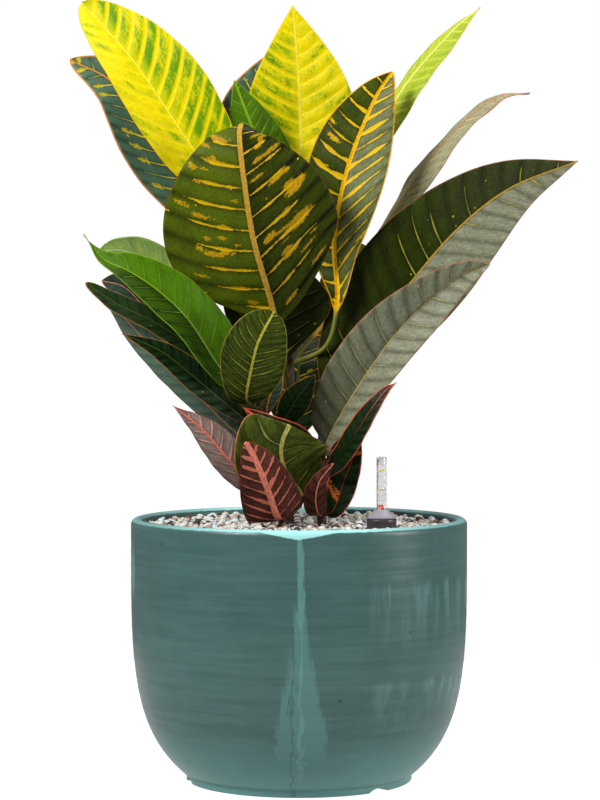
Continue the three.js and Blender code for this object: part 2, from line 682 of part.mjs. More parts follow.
// Each leaf ends at its own stem, the gap away from the bark
for (const [name, leaf] of Object.entries(LEAVES)) {
  const cut = largestBody(toSolid(leafGeometry(leaf)).subtract(grownStems[leaf.stem]));
  addPiece(name, toGeometry(cut), 0x4f6a20, 0.4);
}

export default plant;
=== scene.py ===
"""Potted croton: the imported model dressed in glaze, granules, gauge, bark and leaves."""
import math

import bpy
import numpy as np
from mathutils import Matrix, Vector


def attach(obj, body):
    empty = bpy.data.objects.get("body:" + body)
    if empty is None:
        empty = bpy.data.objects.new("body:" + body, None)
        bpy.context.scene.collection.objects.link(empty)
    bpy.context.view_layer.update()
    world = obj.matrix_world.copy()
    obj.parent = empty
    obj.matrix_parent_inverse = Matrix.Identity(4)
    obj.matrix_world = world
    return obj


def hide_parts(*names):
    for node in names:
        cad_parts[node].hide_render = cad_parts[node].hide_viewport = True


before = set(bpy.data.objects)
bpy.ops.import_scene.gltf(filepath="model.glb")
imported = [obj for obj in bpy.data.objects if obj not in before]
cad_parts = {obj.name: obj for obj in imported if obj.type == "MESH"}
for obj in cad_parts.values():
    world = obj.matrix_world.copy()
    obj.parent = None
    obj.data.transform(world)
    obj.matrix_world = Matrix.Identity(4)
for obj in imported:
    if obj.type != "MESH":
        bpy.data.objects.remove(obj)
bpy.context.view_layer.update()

# The studio: a catalogue picture on pure white, taken from two metres off, level with the middle
# of the plant. One large soft box stands high on the left, weak ones fill from the right and the
# top, and the pot stands on a back-lit acrylic table. Sizes from here on are in millimetres.
MM = 0.001

CAMERA_AT = (0.7, -1950, 340)
CAMERA_AIM = (0.7, 0, 282.5)
LENS = 118
SENSOR = 36
TABLE_RADIUS = 700
TABLE_SIDES = 96

camera_data = bpy.data.cameras.new("camera")
camera_data.sensor_fit = "VERTICAL"
camera_data.sensor_height = SENSOR
camera_data.lens = LENS
camera_data.clip_end = 60
camera = bpy.data.objects.new("camera", camera_data)
bpy.context.scene.collection.objects.link(camera)
camera.location = Vector(CAMERA_AT) * MM
camera.rotation_euler = (Vector(CAMERA_AIM) - Vector(CAMERA_AT)).to_track_quat("-Z", "Y").to_euler()
bpy.context.scene.camera = camera
bpy.context.scene.view_settings.view_transform = "Standard"

# name: (place, aim, width, height, watts)
LAMPS = {
    "soft_box_key": ((-1150, -1150, 1500), (0, 0, 330), 700, 700, 41),
    "soft_box_right": ((1500, -500, 600), (0, 0, 250), 500, 900, 15),
    "soft_box_top": ((150, 250, 1700), (0, 0, 300), 1000, 1000, 12),
}
for name, (place, aim, wide, high, watts) in LAMPS.items():
    lamp_data = bpy.data.lights.new(name, "AREA")
    lamp_data.shape = "RECTANGLE"
    lamp_data.size = wide * MM
    lamp_data.size_y = high * MM
    lamp_data.energy = watts
    lamp = bpy.data.objects.new(name, lamp_data)
    bpy.context.scene.collection.objects.link(lamp)
    lamp.location = Vector(place) * MM
    lamp.rotation_euler = (Vector(aim) - Vector(place)).to_track_quat("-Z", "Y").to_euler()


def node(tree, kind, *feeds, out=None, **settings):
    """
    Adds a node, sets it up and feeds its inputs with values or other outputs: those in use in
    their own order, and those in a dict by name. Gives its first output in use, or the one asked.
    """
    made = tree.nodes.new("ShaderNode" + kind)
    for key, value in settings.items():
        setattr(made, key, value)
    named = [made.inputs[key] for feed in feeds if isinstance(feed, dict) for key in feed]
    values = [feed for feed in feeds if not isinstance(feed, dict)]
    sockets = [socket for socket in made.inputs if socket.enabled][:len(values)] + named
    values += [value for feed in feeds if isinstance(feed, dict) for value in feed.values()]
    for socket, value in zip(sockets, values):
        if isinstance(value, bpy.types.NodeSocket):
            tree.links.new(value, socket)
        else:
            socket.default_value = value
    return made.outputs[out] if out else next((o for o in made.outputs if o.enabled), None)


# White backdrop: the eye sees clean white, also through clear things, while the plant is lit by
# it only softly
world = bpy.data.worlds.new("studio")
bpy.context.scene.world = world
world.use_nodes = True
air = world.node_tree
air.nodes.clear()
path = node(air, "LightPath").node.outputs
seen = node(air, "Math", path["Is Camera Ray"], path["Is Transmission Ray"], operation="MAXIMUM")
dim = node(air, "Background", (1, 1, 1, 1), 0.22)
white = node(air, "Background", (1, 1, 1, 1), 1)
both = node(air, "MixShader", seen, dim, white)
node(air, "OutputWorld", both)


def linear(code):
    """Linear colour of an sRGB hex code such as '8f9a33'."""
    channels = [int(code[i:i + 2], 16) / 255 for i in (0, 2, 4)]
    return *(c / 12.92 if c <= 0.04045 else ((c + 0.055) / 1.055) ** 2.4 for c in channels), 1


def new_material(name):
    """An empty node material and its tree."""
    material = bpy.data.materials.new(name)
    material.use_nodes = True
    material.node_tree.nodes.clear()
    return material, material.node_tree


def new_piece(name, verts, faces, materials, which=None):
    """A smooth-shaded mesh object from points in millimetres."""
    mesh = bpy.data.meshes.new(name)
    mesh.from_pydata((np.asarray(verts) * MM).tolist(), [], faces)
    for material in materials:
        mesh.materials.append(material)
    if which is not None:
        mesh.polygons.foreach_set("material_index", which)
    mesh.polygons.foreach_set("use_smooth", [True] * len(mesh.polygons))
    mesh.update()
    piece = bpy.data.objects.new(name, mesh)
    bpy.context.scene.collection.objects.link(piece)
    return piece


# Opal acrylic, lit evenly from below: it reads as clean white and throws soft light upwards
opal, tree = new_material("opal_acrylic")
fibre = node(tree, "TexNoise", {"Scale": 3, "Detail": 2})
tone = node(tree, "MapRange", fibre, 0, 1, 0.2, 0.24)
seen = node(tree, "LightPath", out="Is Camera Ray")
lit = node(tree, "MapRange", seen, 0, 1, 0.5)
glow = node(tree, "BsdfPrincipled", {
    "Base Color": tone, "Roughness": 0.7, "IOR": 1.49, "Emission Color": (1, 1, 1, 1),
    "Emission Strength": lit,
})
node(tree, "OutputMaterial", glow)
turns = np.linspace(0, 2 * math.pi, TABLE_SIDES, False)
rim = [(TABLE_RADIUS * math.cos(a), TABLE_RADIUS * math.sin(a), 0) for a in turns]
floor = new_piece("floor", rim, [list(range(TABLE_SIDES))], [opal])

# The pot: a barrel thrown on the wheel in stoneware, dipped in a satin teal-grey glaze and fired.
# The glaze is thin and pale over the lip and thick and dark down the wall. A tall tongue of painted
# reflection runs down the front, and painted light lies on the lip, low down and at the edges. The
# pot stands on a foot ring with three shallow notches.
POT_RADIUS = 125
POT_WALL = 9
POT_FLOOR = 10
POT_SIDES = 288
BELLY = [(86, 6), (119, 34), (125, 72), (125, 150)]
BELLY_ROWS = 90
BARREL_FOOT = 152
BARREL_ROWS = 26
LIP_CENTRE = 190.5
LIP_ROUND = 4.5
FOOT_RING = (68, 84.5)
FOOT_NOTCH = {"count": 3, "half": 9, "height": 3.2, "first": -46}
NOTCHED_BELOW = 3.6
RING_CLIMB = 2.2
RING_PITCH = 11.5
FINE_PITCH = 4.3
RING_DEPTH = 0.14


def lathe(profile, sides):
    """Points and faces of a profile of (radius, height) pairs turned about Z."""
    turns = np.linspace(0, 2 * math.pi, sides, False)
    outline = np.asarray(profile, float)
    verts = np.stack([
        np.outer(outline[:, 0], np.cos(turns)),
        np.outer(outline[:, 0], np.sin(turns)),
        np.outer(outline[:, 1], np.ones(sides)),
    ], axis=2).reshape(-1, 3)
    faces = []
    for i in range(len(outline) - 1):
        for k in range(sides):
            a, b = i * sides + k, i * sides + (k + 1) % sides
            faces.append((a, b, b + sides, a + sides))
    return verts, faces


t = np.linspace(0, 1, BELLY_ROWS)[:, None]
b0, b1, b2, b3 = np.array(BELLY, float)
outer = (1 - t) ** 3 * b0 + 3 * (1 - t) ** 2 * t * b1 + 3 * (1 - t) * t ** 2 * b2 + t ** 3 * b3
barrel = [(POT_RADIUS, z) for z in np.linspace(BARREL_FOOT, LIP_CENTRE - 1, BARREL_ROWS)]
turns = np.linspace(0, math.pi, 15)
lip_at = POT_RADIUS - LIP_ROUND
lip = [(lip_at + LIP_ROUND * math.cos(a), LIP_CENTRE + LIP_ROUND * math.sin(a)) for a in turns]
step = np.gradient(outer, axis=0)
step /= np.linalg.norm(step, axis=1)[:, None]
inside = outer + POT_WALL * np.stack([-step[:, 1], step[:, 0]], axis=1)
inside = inside[inside[:, 1] > POT_FLOOR + 2][::-4]
foot = [
    (0.1, 0), (60, 0), (60.6, 1), (62, 3.5), (68, 3.5), (69.4, 1), (70, 0), (83, 0), (83.8, 0.4),
    (84, 1), (84, 2.4), (84, 3.8), (84, 5.2), (84.6, 5.6),
]
inner_wall = [(POT_RADIUS - POT_WALL, z) for z in np.linspace(LIP_CENTRE - 2, BARREL_FOOT, 8)]
bottom = [(60, POT_FLOOR), (0.1, POT_FLOOR)]
profile = foot + outer.tolist() + barrel + lip + inner_wall + inside.tolist() + bottom
verts, faces = lathe(profile, POT_SIDES)
radius = np.hypot(verts[:, 0], verts[:, 1])
turn = np.arctan2(verts[:, 1], verts[:, 0])
height = verts[:, 2]
row = np.arange(len(verts)) // POT_SIDES - len(foot)
on_outside = (row >= 0) & (row < BELLY_ROWS + BARREL_ROWS)
in_ring = (radius > FOOT_RING[0]) & (radius < FOOT_RING[1]) & (row < 0)
# Finger rings: a slow beat of ridges 9 to 13 mm apart that climb a little as they go round
climb = height + RING_CLIMB * turn / math.pi
beat = climb * 2 * math.pi
rings = 0.5 + 0.28 * np.sin(beat / RING_PITCH + 0.8 * np.sin(climb / 23))
rings += 0.22 * np.sin(beat / FINE_PITCH)
fade = np.clip((height - 12) / 20, 0, 1) * np.clip((LIP_CENTRE - height) / 8, 0, 1)
shrink = np.where(on_outside, RING_DEPTH * rings * fade, 0)
verts[:, 0] -= np.cos(turn) * shrink
verts[:, 1] -= np.sin(turn) * shrink
# The foot's notches: shallow arches cut through the ring
for i in range(FOOT_NOTCH["count"]):
    centre = math.radians(FOOT_NOTCH["first"] + i * 360 / FOOT_NOTCH["count"])
    away = (turn - centre + math.pi) % (2 * math.pi) - math.pi
    across = away * radius / FOOT_NOTCH["half"]
    arch = FOOT_NOTCH["height"] * np.sqrt(np.clip(1 - across ** 2, 0, 1))
    cut = in_ring & (height < NOTCHED_BELOW)
    verts[:, 2] = np.where(cut, np.maximum(verts[:, 2], arch), verts[:, 2])

# Glazed stoneware, IOR of glass, satin: mottled teal-grey, pale aqua where it breaks over the lip,
# under a painted highlight there, painted light in fresher teal low down, a tongue of painted
# reflection on the front, painted reflections in pale strips on the right and at both edges, and a
# few dark pits
glaze, tree = new_material("glazed_stoneware")
where = node(tree, "TexCoord", out="Object")
x, y, z = node(tree, "SeparateXYZ", where).node.outputs
stretch = node(tree, "Mapping", where, {"Scale": (14, 14, 230)})
bands = node(tree, "TexNoise", stretch, 1, 6, 0.7)
cloud = node(tree, "TexNoise", where, 30, 6, 0.7)
grit = node(tree, "TexNoise", where, 1100, 2)
runs = node(tree, "Mapping", where, {"Scale": (230, 230, 26)})
drips = node(tree, "TexNoise", runs, 1, 5, 0.65)
mixed = node(tree, "Math", cloud, 0.55, bands, operation="MULTIPLY_ADD")
wall = node(tree, "ValToRGB", mixed)
for stop, place, code in zip(wall.node.color_ramp.elements, (0.55, 1.0), ("385855", "496966")):
    stop.position = place
    stop.color = linear(code)

# The tongue, a painted reflection down the front: widens from the lip to the foot, with a bright
# core and a dark seam beside it
TONGUE = {"centre": 0.001, "foot": 0.024, "tip": 0.0015, "top": 0.15, "wander": 0.018}
swing = node(
    tree, "Math", drips, TONGUE["wander"], -TONGUE["wander"] / 2 - TONGUE["centre"],
    operation="MULTIPLY_ADD",
)
aside = node(tree, "Math", x, swing, operation="ADD")
off = node(tree, "Math", aside, operation="ABSOLUTE")
width = node(tree, "MapRange", z, 0.01, TONGUE["top"], TONGUE["foot"], TONGUE["tip"])
inside_by = node(tree, "Math", width, off, operation="SUBTRACT")
front = node(tree, "MapRange", y, -0.06, -0.08)
tongue = node(tree, "MapRange", inside_by, -0.001, 0.0022, 0, 0.42)
core = node(tree, "MapRange", off, 0.001, 0.003, 0.75, 0)
painted_tongue = node(tree, "Math", tongue, core, operation="MAXIMUM")
painted_tongue = node(tree, "Math", painted_tongue, front, operation="MULTIPLY")
# Painted light: fresher teal towards the bottom, as light bounced up from the table
low = node(tree, "Math", cloud, 0.03, z, operation="MULTIPLY_ADD")
low = node(tree, "MapRange", low, 0.062, 0.022, 0, 0.8)
painted_light = node(tree, "Math", painted_tongue, low, operation="MAXIMUM")
colour = node(tree, "Mix", painted_light, wall, linear("5f928d"), data_type="RGBA")
seam = node(tree, "Math", aside, 0.006, operation="ADD")
seam = node(tree, "Math", seam, operation="ABSOLUTE")
seam = node(tree, "MapRange", seam, 0.0003, 0.0012, 0.6, 0)
short = node(tree, "MapRange", z, 0.15, 0.13)
for mask in (short, front):
    seam = node(tree, "Math", seam, mask, operation="MULTIPLY")
colour = node(tree, "Mix", seam, colour, linear("314c49"), data_type="RGBA")

# Painted reflections: pale strips down the right side, cut off straight at the top
broad = node(tree, "Mapping", where, {"Scale": (120, 120, 16)})
broad = node(tree, "TexNoise", broad, 1, 5, 0.6)
reflection_streaks = node(tree, "MapRange", broad, 0.46, 0.6)
right_side = node(tree, "MapRange", x, 0.044, 0.06)
facing = node(tree, "MapRange", y, 0, -0.03, 0, 0.3)
facing = node(tree, "Math", facing, right_side, operation="MULTIPLY")
for top, end in ((0.158, 0.105), (0.088, 0.045)):
    started = node(tree, "MapRange", z, top, top - 0.005)
    faded = node(tree, "MapRange", z, end, end + 0.045)
    right_reflection = started
    for mask in (faded, reflection_streaks, facing):
        right_reflection = node(tree, "Math", right_reflection, mask, operation="MULTIPLY")
    colour = node(tree, "Mix", right_reflection, colour, linear("7ba6a2"), data_type="RGBA")
# Painted reflections at both edges: degrees from the front, height, half width, half height,
# strength
PAINTED_EDGE_REFLECTIONS = [(80, 140, 7, 14, 1.6), (-77, 160, 6, 24, 0.8)]
for turn_to, up, half_wide, half_high, strength in PAINTED_EDGE_REFLECTIONS:
    angle = math.radians(turn_to - 90)
    spot = (POT_RADIUS * math.cos(angle) * MM, POT_RADIUS * math.sin(angle) * MM, up * MM)
    near = node(tree, "Mapping", where, {"Location": (-spot[0], -spot[1], -spot[2])})
    narrow, tall = 1 / (half_wide * MM), 1 / (half_high * MM)
    near = node(tree, "Mapping", near, {"Scale": (narrow, narrow, tall)})
    reach_out = node(tree, "VectorMath", near, operation="LENGTH")
    within = node(tree, "MapRange", reach_out, 1, 0.7, 0, strength)
    run = node(tree, "Math", within, reflection_streaks, operation="MULTIPLY", use_clamp=True)
    colour = node(tree, "Mix", run, colour, linear("7ba6a2"), data_type="RGBA")

# The lip: pale aqua where the glaze thins over it, under a painted highlight that is palest across
# the middle and duller to the sides, with a wavy lower edge that hangs down in the middle of the
# front
from_middle = node(tree, "Math", x, operation="ABSOLUTE")
sag = node(tree, "MapRange", from_middle, 0, 0.026, 0.1874, 0.1922)
drip_edge = node(tree, "Math", drips, 0.0016, sag, operation="MULTIPLY_ADD")
above = node(tree, "Math", z, drip_edge, operation="SUBTRACT")
lip_mask = node(tree, "MapRange", above, -0.0002, 0.0006)
sideways = node(tree, "MapRange", from_middle, 0.045, 0.1)
lip_glaze_and_highlight = node(tree, "Mix", sideways, linear("a4e2df"), linear("76aaa6"), data_type="RGBA")
colour = node(tree, "Mix", lip_mask, colour, lip_glaze_and_highlight, data_type="RGBA")
speck = node(tree, "TexVoronoi", where, 62)
chance = node(tree, "SeparateColor", speck.node.outputs["Color"])
few = node(tree, "Math", chance, 0.76, operation="GREATER_THAN")
tiny = node(tree, "MapRange", speck, 0.04, 0.07, 0.85, 0)
dots = node(tree, "Math", few, tiny, operation="MULTIPLY")
colour = node(tree, "Mix", dots, colour, linear("141c1b"), data_type="RGBA")
orange_peel = node(tree, "MapRange", grit, 0, 1, 0.26, 0.36)
relief = node(tree, "Math", drips, 1, cloud, operation="MULTIPLY_ADD")
skin = node(tree, "Bump", {"Strength": 0.25, "Distance": 0.0008, "Height": relief})
gloss = node(tree, "BsdfPrincipled", {
    "Base Color": colour, "Roughness": orange_peel, "IOR": 1.5, "Specular IOR Level": 0.35,
    "Normal": skin,
})
node(tree, "OutputMaterial", gloss)

pot = new_piece("pot_glazed", verts, faces, [glaze])
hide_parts("pot")
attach(pot, "planter")

# The granules: washed mineral grains of 4 to 7 mm, cream pumice, pale zeolite and brown lava,
# poured in up to 4 mm under the lip. The larger grains lie on a loose triangular lattice, which is
# the solid's too, and grit fills the hollows between them.
FILL_TOP = 190.5
FILL_RADIUS = 115.7
GRAIN_PITCH = 6.2
GRAIN_RISE = 2
GRAIN_JITTER = 0.3
GRAIN_SIZE = (2.6, 3.7)
GRAIN_SQUASH = (0.78, 1.08)
GRIT_SIZE = (1.3, 2.0)
GRIT_SHIFT = 0.8
GRIT_SINK = (0.4, 1.6)
CHIPS = 3
CHIPPED_AT = (0.7, 0.95)
SLEEVE_AT = (60, -46)
SLEEVE_RADIUS = 10.9
STEM_FEET = [(-8, 8, 4.6), (-13, -6, 3.6), (17, 1, 4.0)]

# Grit starts from a ball of twelve corners, the larger grains from one of 42
seeded = np.random.default_rng(11)
golden = (1 + 5 ** 0.5) / 2
corners = np.array([(a, b * golden, 0) for a in (-1, 1) for b in (-1, 1)])
corners = np.vstack([corners, np.roll(corners, 1, axis=1), np.roll(corners, 2, axis=1)])
corners /= np.linalg.norm(corners, axis=1)[:, None]
gap = np.linalg.norm(corners[:, None] - corners[None], axis=2)
sides = [(i, j, k) for i in range(12) for j in range(i + 1, 12) for k in range(j + 1, 12)
         if max(gap[i, j], gap[j, k], gap[i, k]) < 1.2]
sides = [(i, j, k) if np.linalg.det(corners[[i, j, k]]) > 0 else (i, k, j) for i, j, k in sides]
ball = list(corners)
middles = {}
ball_faces = []
for i, j, k in sides:
    edge = []
    for a, b in ((i, j), (j, k), (k, i)):
        if (min(a, b), max(a, b)) not in middles:
            middles[min(a, b), max(a, b)] = len(ball)
            between = corners[a] + corners[b]
            ball.append(between / np.linalg.norm(between))
        edge.append(middles[min(a, b), max(a, b)])
    ball_faces += [(i, edge[0], edge[2]), (j, edge[1], edge[0]), (k, edge[2], edge[1]), tuple(edge)]
ball = np.array(ball)


def fixed_sequence(state):
    """The same numbers from 0 to 1 each time."""
    while True:
        state = (1664525 * state + 1013904223) % 2 ** 32
        yield state / 2 ** 32


# The lattice: every third point is a crown that stands up, as in the solid
drawn = fixed_sequence(7)
half = math.ceil(POT_RADIUS / GRAIN_PITCH)
row_step = GRAIN_PITCH * math.sqrt(3) / 2
row_half = math.ceil(POT_RADIUS / row_step)
lattice = {}
for j in range(2 * row_half + 1):
    for i in range(2 * half + 1):
        crown = (i + 2 * (j % 2)) % 3 == 0
        level = GRAIN_RISE * (0.4 + 0.6 * next(drawn)) if crown else -next(drawn)
        shift = (0.25 if j % 2 else -0.25) + GRAIN_JITTER * (next(drawn) - 0.5)
        x = (i - half + shift) * GRAIN_PITCH
        y = (j - row_half + GRAIN_JITTER * (next(drawn) - 0.5)) * row_step
        lattice[i, j] = (x, y, FILL_TOP + level)
spots = [(*spot, seeded.uniform(*GRAIN_SIZE)) for spot in lattice.values()]
for (i, j), (x, y, top) in lattice.items():
    for step_i, step_j in ((1, 0), (0, 1)):
        if (i + step_i, j + step_j) in lattice:
            x1, y1, top1 = lattice[i + step_i, j + step_j]
            spots.append((
                (x + x1) / 2 + seeded.uniform(-GRIT_SHIFT, GRIT_SHIFT),
                (y + y1) / 2 + seeded.uniform(-GRIT_SHIFT, GRIT_SHIFT),
                (top + top1) / 2 - seeded.uniform(*GRIT_SINK), seeded.uniform(*GRIT_SIZE),
            ))
places = []
for x, y, top, grain in spots:
    if math.hypot(x, y) > FILL_RADIUS - grain * 0.9:
        continue
    if math.dist((x, y), SLEEVE_AT) < SLEEVE_RADIUS + grain * 0.75:
        continue
    if any(math.dist((x, y), (a, b)) < r + grain * 0.7 for a, b, r in STEM_FEET):
        continue
    places.append((x, y, top + 0.1 - grain * 0.8, grain))
grain_verts, grain_faces, kinds, crowns = [], [], [], []
start = 0
for number, (x0, y0, z0, size) in enumerate(places):
    turned = np.linalg.qr(seeded.normal(size=(3, 3)))[0]
    squash = seeded.uniform(*GRAIN_SQUASH, 3)
    form, form_faces = (ball, ball_faces) if size > GRIT_SIZE[1] else (corners, sides)
    lumpy = form * (1 + seeded.uniform(-0.12, 0.12, len(form)))[:, None] * squash
    # Chipped faces, as crushed rock has
    for _ in range(CHIPS):
        chip = seeded.normal(size=3)
        chip /= np.linalg.norm(chip)
        over = np.clip(lumpy @ chip - seeded.uniform(*CHIPPED_AT), 0, None)
        lumpy = lumpy - over[:, None] * chip
    lumpy = lumpy @ turned.T
    grain_verts.append(lumpy * size + (x0, y0, z0))
    crowns.append(lumpy[:, 2])
    grain_faces += [tuple(v + start for v in face) for face in form_faces]
    kinds += [number] * len(form_faces)
    start += len(form)
# Under the grains lies a dark bed, painted shade that shows in the gaps between them
bed = [(0.1, FILL_TOP - 3), (40, FILL_TOP - 3), (80, FILL_TOP - 3), (FILL_RADIUS, FILL_TOP - 2.6),
       (FILL_RADIUS, FILL_TOP - 12), (0.1, FILL_TOP - 12)]
bed_verts, bed_faces = lathe(bed, 72)
base = sum(len(grain) for grain in grain_verts)
verts = np.vstack(grain_verts + [bed_verts])
faces = grain_faces + [tuple(v + base for v in face) for face in bed_faces]

GRAIN_COLOURS = [
    # The first colour is the dark bed's, painted shade in the gaps
    (0, "4a3b36"), (0.02, "e6dccb"), (0.18, "d3c2ae"), (0.32, "efe9de"), (0.48, "e2f2f4"),
    (0.68, "f8f7f3"), (0.8, "7d5c57"), (0.88, "533d3b"), (0.94, "b59a86"),
]
# Crushed mineral, quite matt: the dust on each grain scatters the light and hides its gloss
mineral, tree = new_material("mineral_granules")
kind = node(tree, "Attribute", out="Fac", attribute_name="kind")
stone = node(tree, "ValToRGB", kind)
ramp = stone.node.color_ramp
ramp.interpolation = "CONSTANT"
for number, (place, code) in enumerate(GRAIN_COLOURS):
    stop = ramp.elements[number] if number < 2 else ramp.elements.new(place)
    stop.position = place
    stop.color = linear(code)
where = node(tree, "TexCoord", out="Object")
pits = node(tree, "TexNoise", where, 900, 4, 0.7)
shade = node(tree, "MapRange", pits, 0.3, 0.7, 0.72, 1.08)
grain_tone_and_shade = node(tree, "Mix", 1, stone, shade, data_type="RGBA", blend_type="MULTIPLY")
# Painted shade: darker deep between the grains and on each grain's lower side
up = node(tree, "SeparateXYZ", where, out="Z")
deep = node(tree, "MapRange", up, (FILL_TOP - 2.6) * MM, (FILL_TOP - 0.7) * MM, 0.95, 0)
crown = node(tree, "Attribute", out="Fac", attribute_name="crown")
under = node(tree, "MapRange", crown, 0.1, 0.55, 0.85, 0)
deep = node(tree, "Math", deep, under, operation="MAXIMUM")
grain_tone_and_shade = node(tree, "Mix", deep, grain_tone_and_shade, linear("2c2320"), data_type="RGBA")
rough = node(tree, "Bump", {"Strength": 0.6, "Distance": 0.0005, "Height": pits})
dust = node(tree, "BsdfPrincipled", {
    "Base Color": grain_tone_and_shade, "Roughness": 0.8, "IOR": 1.5, "Specular IOR Level": 0.3, "Normal": rough,
})
node(tree, "OutputMaterial", dust)

granules = new_piece("granules", verts, faces, [mineral])
values = np.concatenate([
    0.021 + 0.978 * seeded.random(len(places))[np.array(kinds)], np.zeros(len(bed_faces)),
])
granules.data.attributes.new("kind", "FLOAT", "FACE").data.foreach_set("value", values)
heights = np.concatenate([*crowns, np.zeros(len(bed_verts))])
granules.data.attributes.new("crown", "FLOAT", "POINT").data.foreach_set("value", heights)
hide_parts("substrate")
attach(granules, "planter")

# The water gauge's sleeve: a moulded dark plastic tube pushed down into the granules, ribbed
# round the collar for the fingers. Slots near its foot let the water in.
RIBS = 36
RIB_DEPTH = 0.28
RIBBED = (186.5, 194.9)


def gauge_lathe(profile, sides):
    """A turned piece on the gauge's own axis."""
    verts, faces = lathe(profile, sides)
    return verts + (*SLEEVE_AT, 0), faces


collar = [
    (3, 24), (10.9, 24), (10.9, 60), (10.9, 120), (10.9, 170), (10.9, 186), (10.9, 187),
    (10.9, 189), (10.9, 191), (10.9, 193), (10.9, 194.6), (10.9, 195.2), (10.9, 196.8),
    (10.7, 197.3), (10.3, 197.5), (9.2, 197.5), (8.7, 197.2), (8.7, 100), (8.7, 26), (3, 26),
    (3, 24),
]
verts, faces = gauge_lathe(collar, RIBS * 6)
angle = np.arctan2(verts[:, 1] - SLEEVE_AT[1], verts[:, 0] - SLEEVE_AT[0])
from_axis = np.hypot(verts[:, 0] - SLEEVE_AT[0], verts[:, 1] - SLEEVE_AT[1])
ribbed = (from_axis > SLEEVE_RADIUS - 0.1) & (verts[:, 2] > RIBBED[0]) & (verts[:, 2] < RIBBED[1])
depth = np.where(ribbed, RIB_DEPTH + RIB_DEPTH * np.cos(angle * RIBS), 0)
verts[:, 0] -= depth * np.cos(angle)
verts[:, 1] -= depth * np.sin(angle)

# Moulded ABS, slightly worn: a soft grey sheen over near-black plum
abs_dark, tree = new_material("moulded_abs_dark")
where = node(tree, "TexCoord", out="Object")
grain = node(tree, "TexNoise", where, 700, 3)
worn = node(tree, "Mix", grain, linear("2c232b"), linear("453a44"), data_type="RGBA")
satin = node(tree, "MapRange", grain, 0, 1, 0.34, 0.48)
mould = node(tree, "Bump", {"Strength": 0.15, "Distance": 0.0002, "Height": grain})
plastic = node(tree, "BsdfPrincipled", {
    "Base Color": worn, "Roughness": satin, "IOR": 1.54, "Normal": mould,
})
node(tree, "OutputMaterial", plastic)
sleeve = new_piece("gauge_collar", verts, faces, [abs_dark])
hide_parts("gauge_sleeve")
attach(sleeve, "planter")

# The sight tube: acrylic turned to a flange that sits on the collar, with a closed flat top.
# Two yellow bars printed on its front mark the water levels.
BAR_LEVELS = (232.7, 218.8)
BAR_HALF_HEIGHT = 0.55
BAR_ARC = (-112, -55)
BAR_POINTS = 13

tube = [
    (0.05, 241.2), (2.3, 241.2), (2.7, 240.8), (2.7, 225), (2.7, 210), (2.75, 204.6), (4.2, 202.8),
    (6.4, 200.6), (8.6, 199.3), (8.7, 198.6), (8.7, 197.8), (10.4, 197.8), (10.6, 198), (10.6, 199),
    (10.4, 199.5), (9, 200.4), (7, 202), (5.2, 203.7), (4.2, 204.6), (3.75, 205.6), (3.7, 207),
    (3.7, 225), (3.7, 241.6), (3.5, 242.2), (3.1, 242.4), (0.05, 242.4),
]
verts, faces = gauge_lathe(tube, 64)
# Cast acrylic: milky pale grey in the tube, clear round the float's head, smoky on the shoulder
acrylic, tree = new_material("frosted_acrylic")
where = node(tree, "TexCoord", out="Object")
up = node(tree, "SeparateXYZ", where, out="Z")
cloud = node(tree, "TexNoise", where, 160, 2)
haze = node(tree, "MapRange", cloud, 0, 1, 0.06, 0.16)
smoky = node(tree, "MapRange", up, 0.2046, 0.203)
milk = node(tree, "Mix", smoky, linear("f3f2f3"), linear("a59eaa"), data_type="RGBA")
see = node(tree, "MapRange", up, 0.2082, 0.2095, 0.98, 0.82)
see = node(tree, "MapRange", smoky, 0, 1, see, 0.1)
clear = node(tree, "BsdfPrincipled", {
    "Base Color": milk, "Roughness": haze, "IOR": 1.45, "Transmission Weight": see,
    "Specular IOR Level": 0.3,
})
node(tree, "OutputMaterial", clear)
sight = new_piece("gauge_sight_tube", verts, faces, [acrylic])
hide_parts("gauge_tube")
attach(sight, "planter")

# Screen-printed enamel ink: flat, opaque, a little glossy
ink, tree = new_material("printed_ink_yellow")
where = node(tree, "TexCoord", out="Object")
mesh_print = node(tree, "TexNoise", where, 2500, 1)
inked = node(tree, "Mix", mesh_print, linear("cdb400"), linear("e4d01c"), data_type="RGBA")
flat = node(tree, "BsdfPrincipled", {"Base Color": inked, "Roughness": 0.45, "IOR": 1.5})
node(tree, "OutputMaterial", flat)
bar_verts, bar_faces = [], []
for level in BAR_LEVELS:
    start = len(bar_verts)
    arc = np.radians(np.linspace(*BAR_ARC, BAR_POINTS))
    for radius, up in ((3.72, 1), (3.8, 1), (3.8, -1), (3.72, -1)):
        for a in arc:
            bar_verts.append((
                SLEEVE_AT[0] + radius * math.cos(a), SLEEVE_AT[1] + radius * math.sin(a),
                level + up * BAR_HALF_HEIGHT,
            ))
    for side in range(4):
        for k in range(BAR_POINTS - 1):
            p, q = start + side * BAR_POINTS + k, start + (side + 1) % 4 * BAR_POINTS + k
            bar_faces.append((p, q, q + 1, p + 1))
    bar_faces.append(tuple(start + side * BAR_POINTS for side in range(4)))
    bar_faces.append(tuple(start + side * BAR_POINTS + BAR_POINTS - 1 for side in (3, 2, 1, 0)))
bars = new_piece("gauge_level_bars", bar_verts, bar_faces, [ink])
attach(bars, "planter")

# The float: a red moulded plug hidden in the sleeve, on a thin rod whose banded head shows the
# level in the tube. It floats free and slides up as the pot is watered.
float_profile = [
    (0.05, 26.4), (6.6, 26.4), (7.4, 26.8), (7.6, 27.3), (7.6, 46), (7.6, 65.3), (7.3, 66),
    (6.6, 66.3), (0.9, 66.3), (0.9, 120), (0.9, 203.5), (1.9, 203.7), (2.1, 204), (2.1, 205.2),
    (2.1, 206.8), (2.1, 207.7), (1.9, 208), (0.05, 208),
]
verts, faces = gauge_lathe(float_profile, 40)
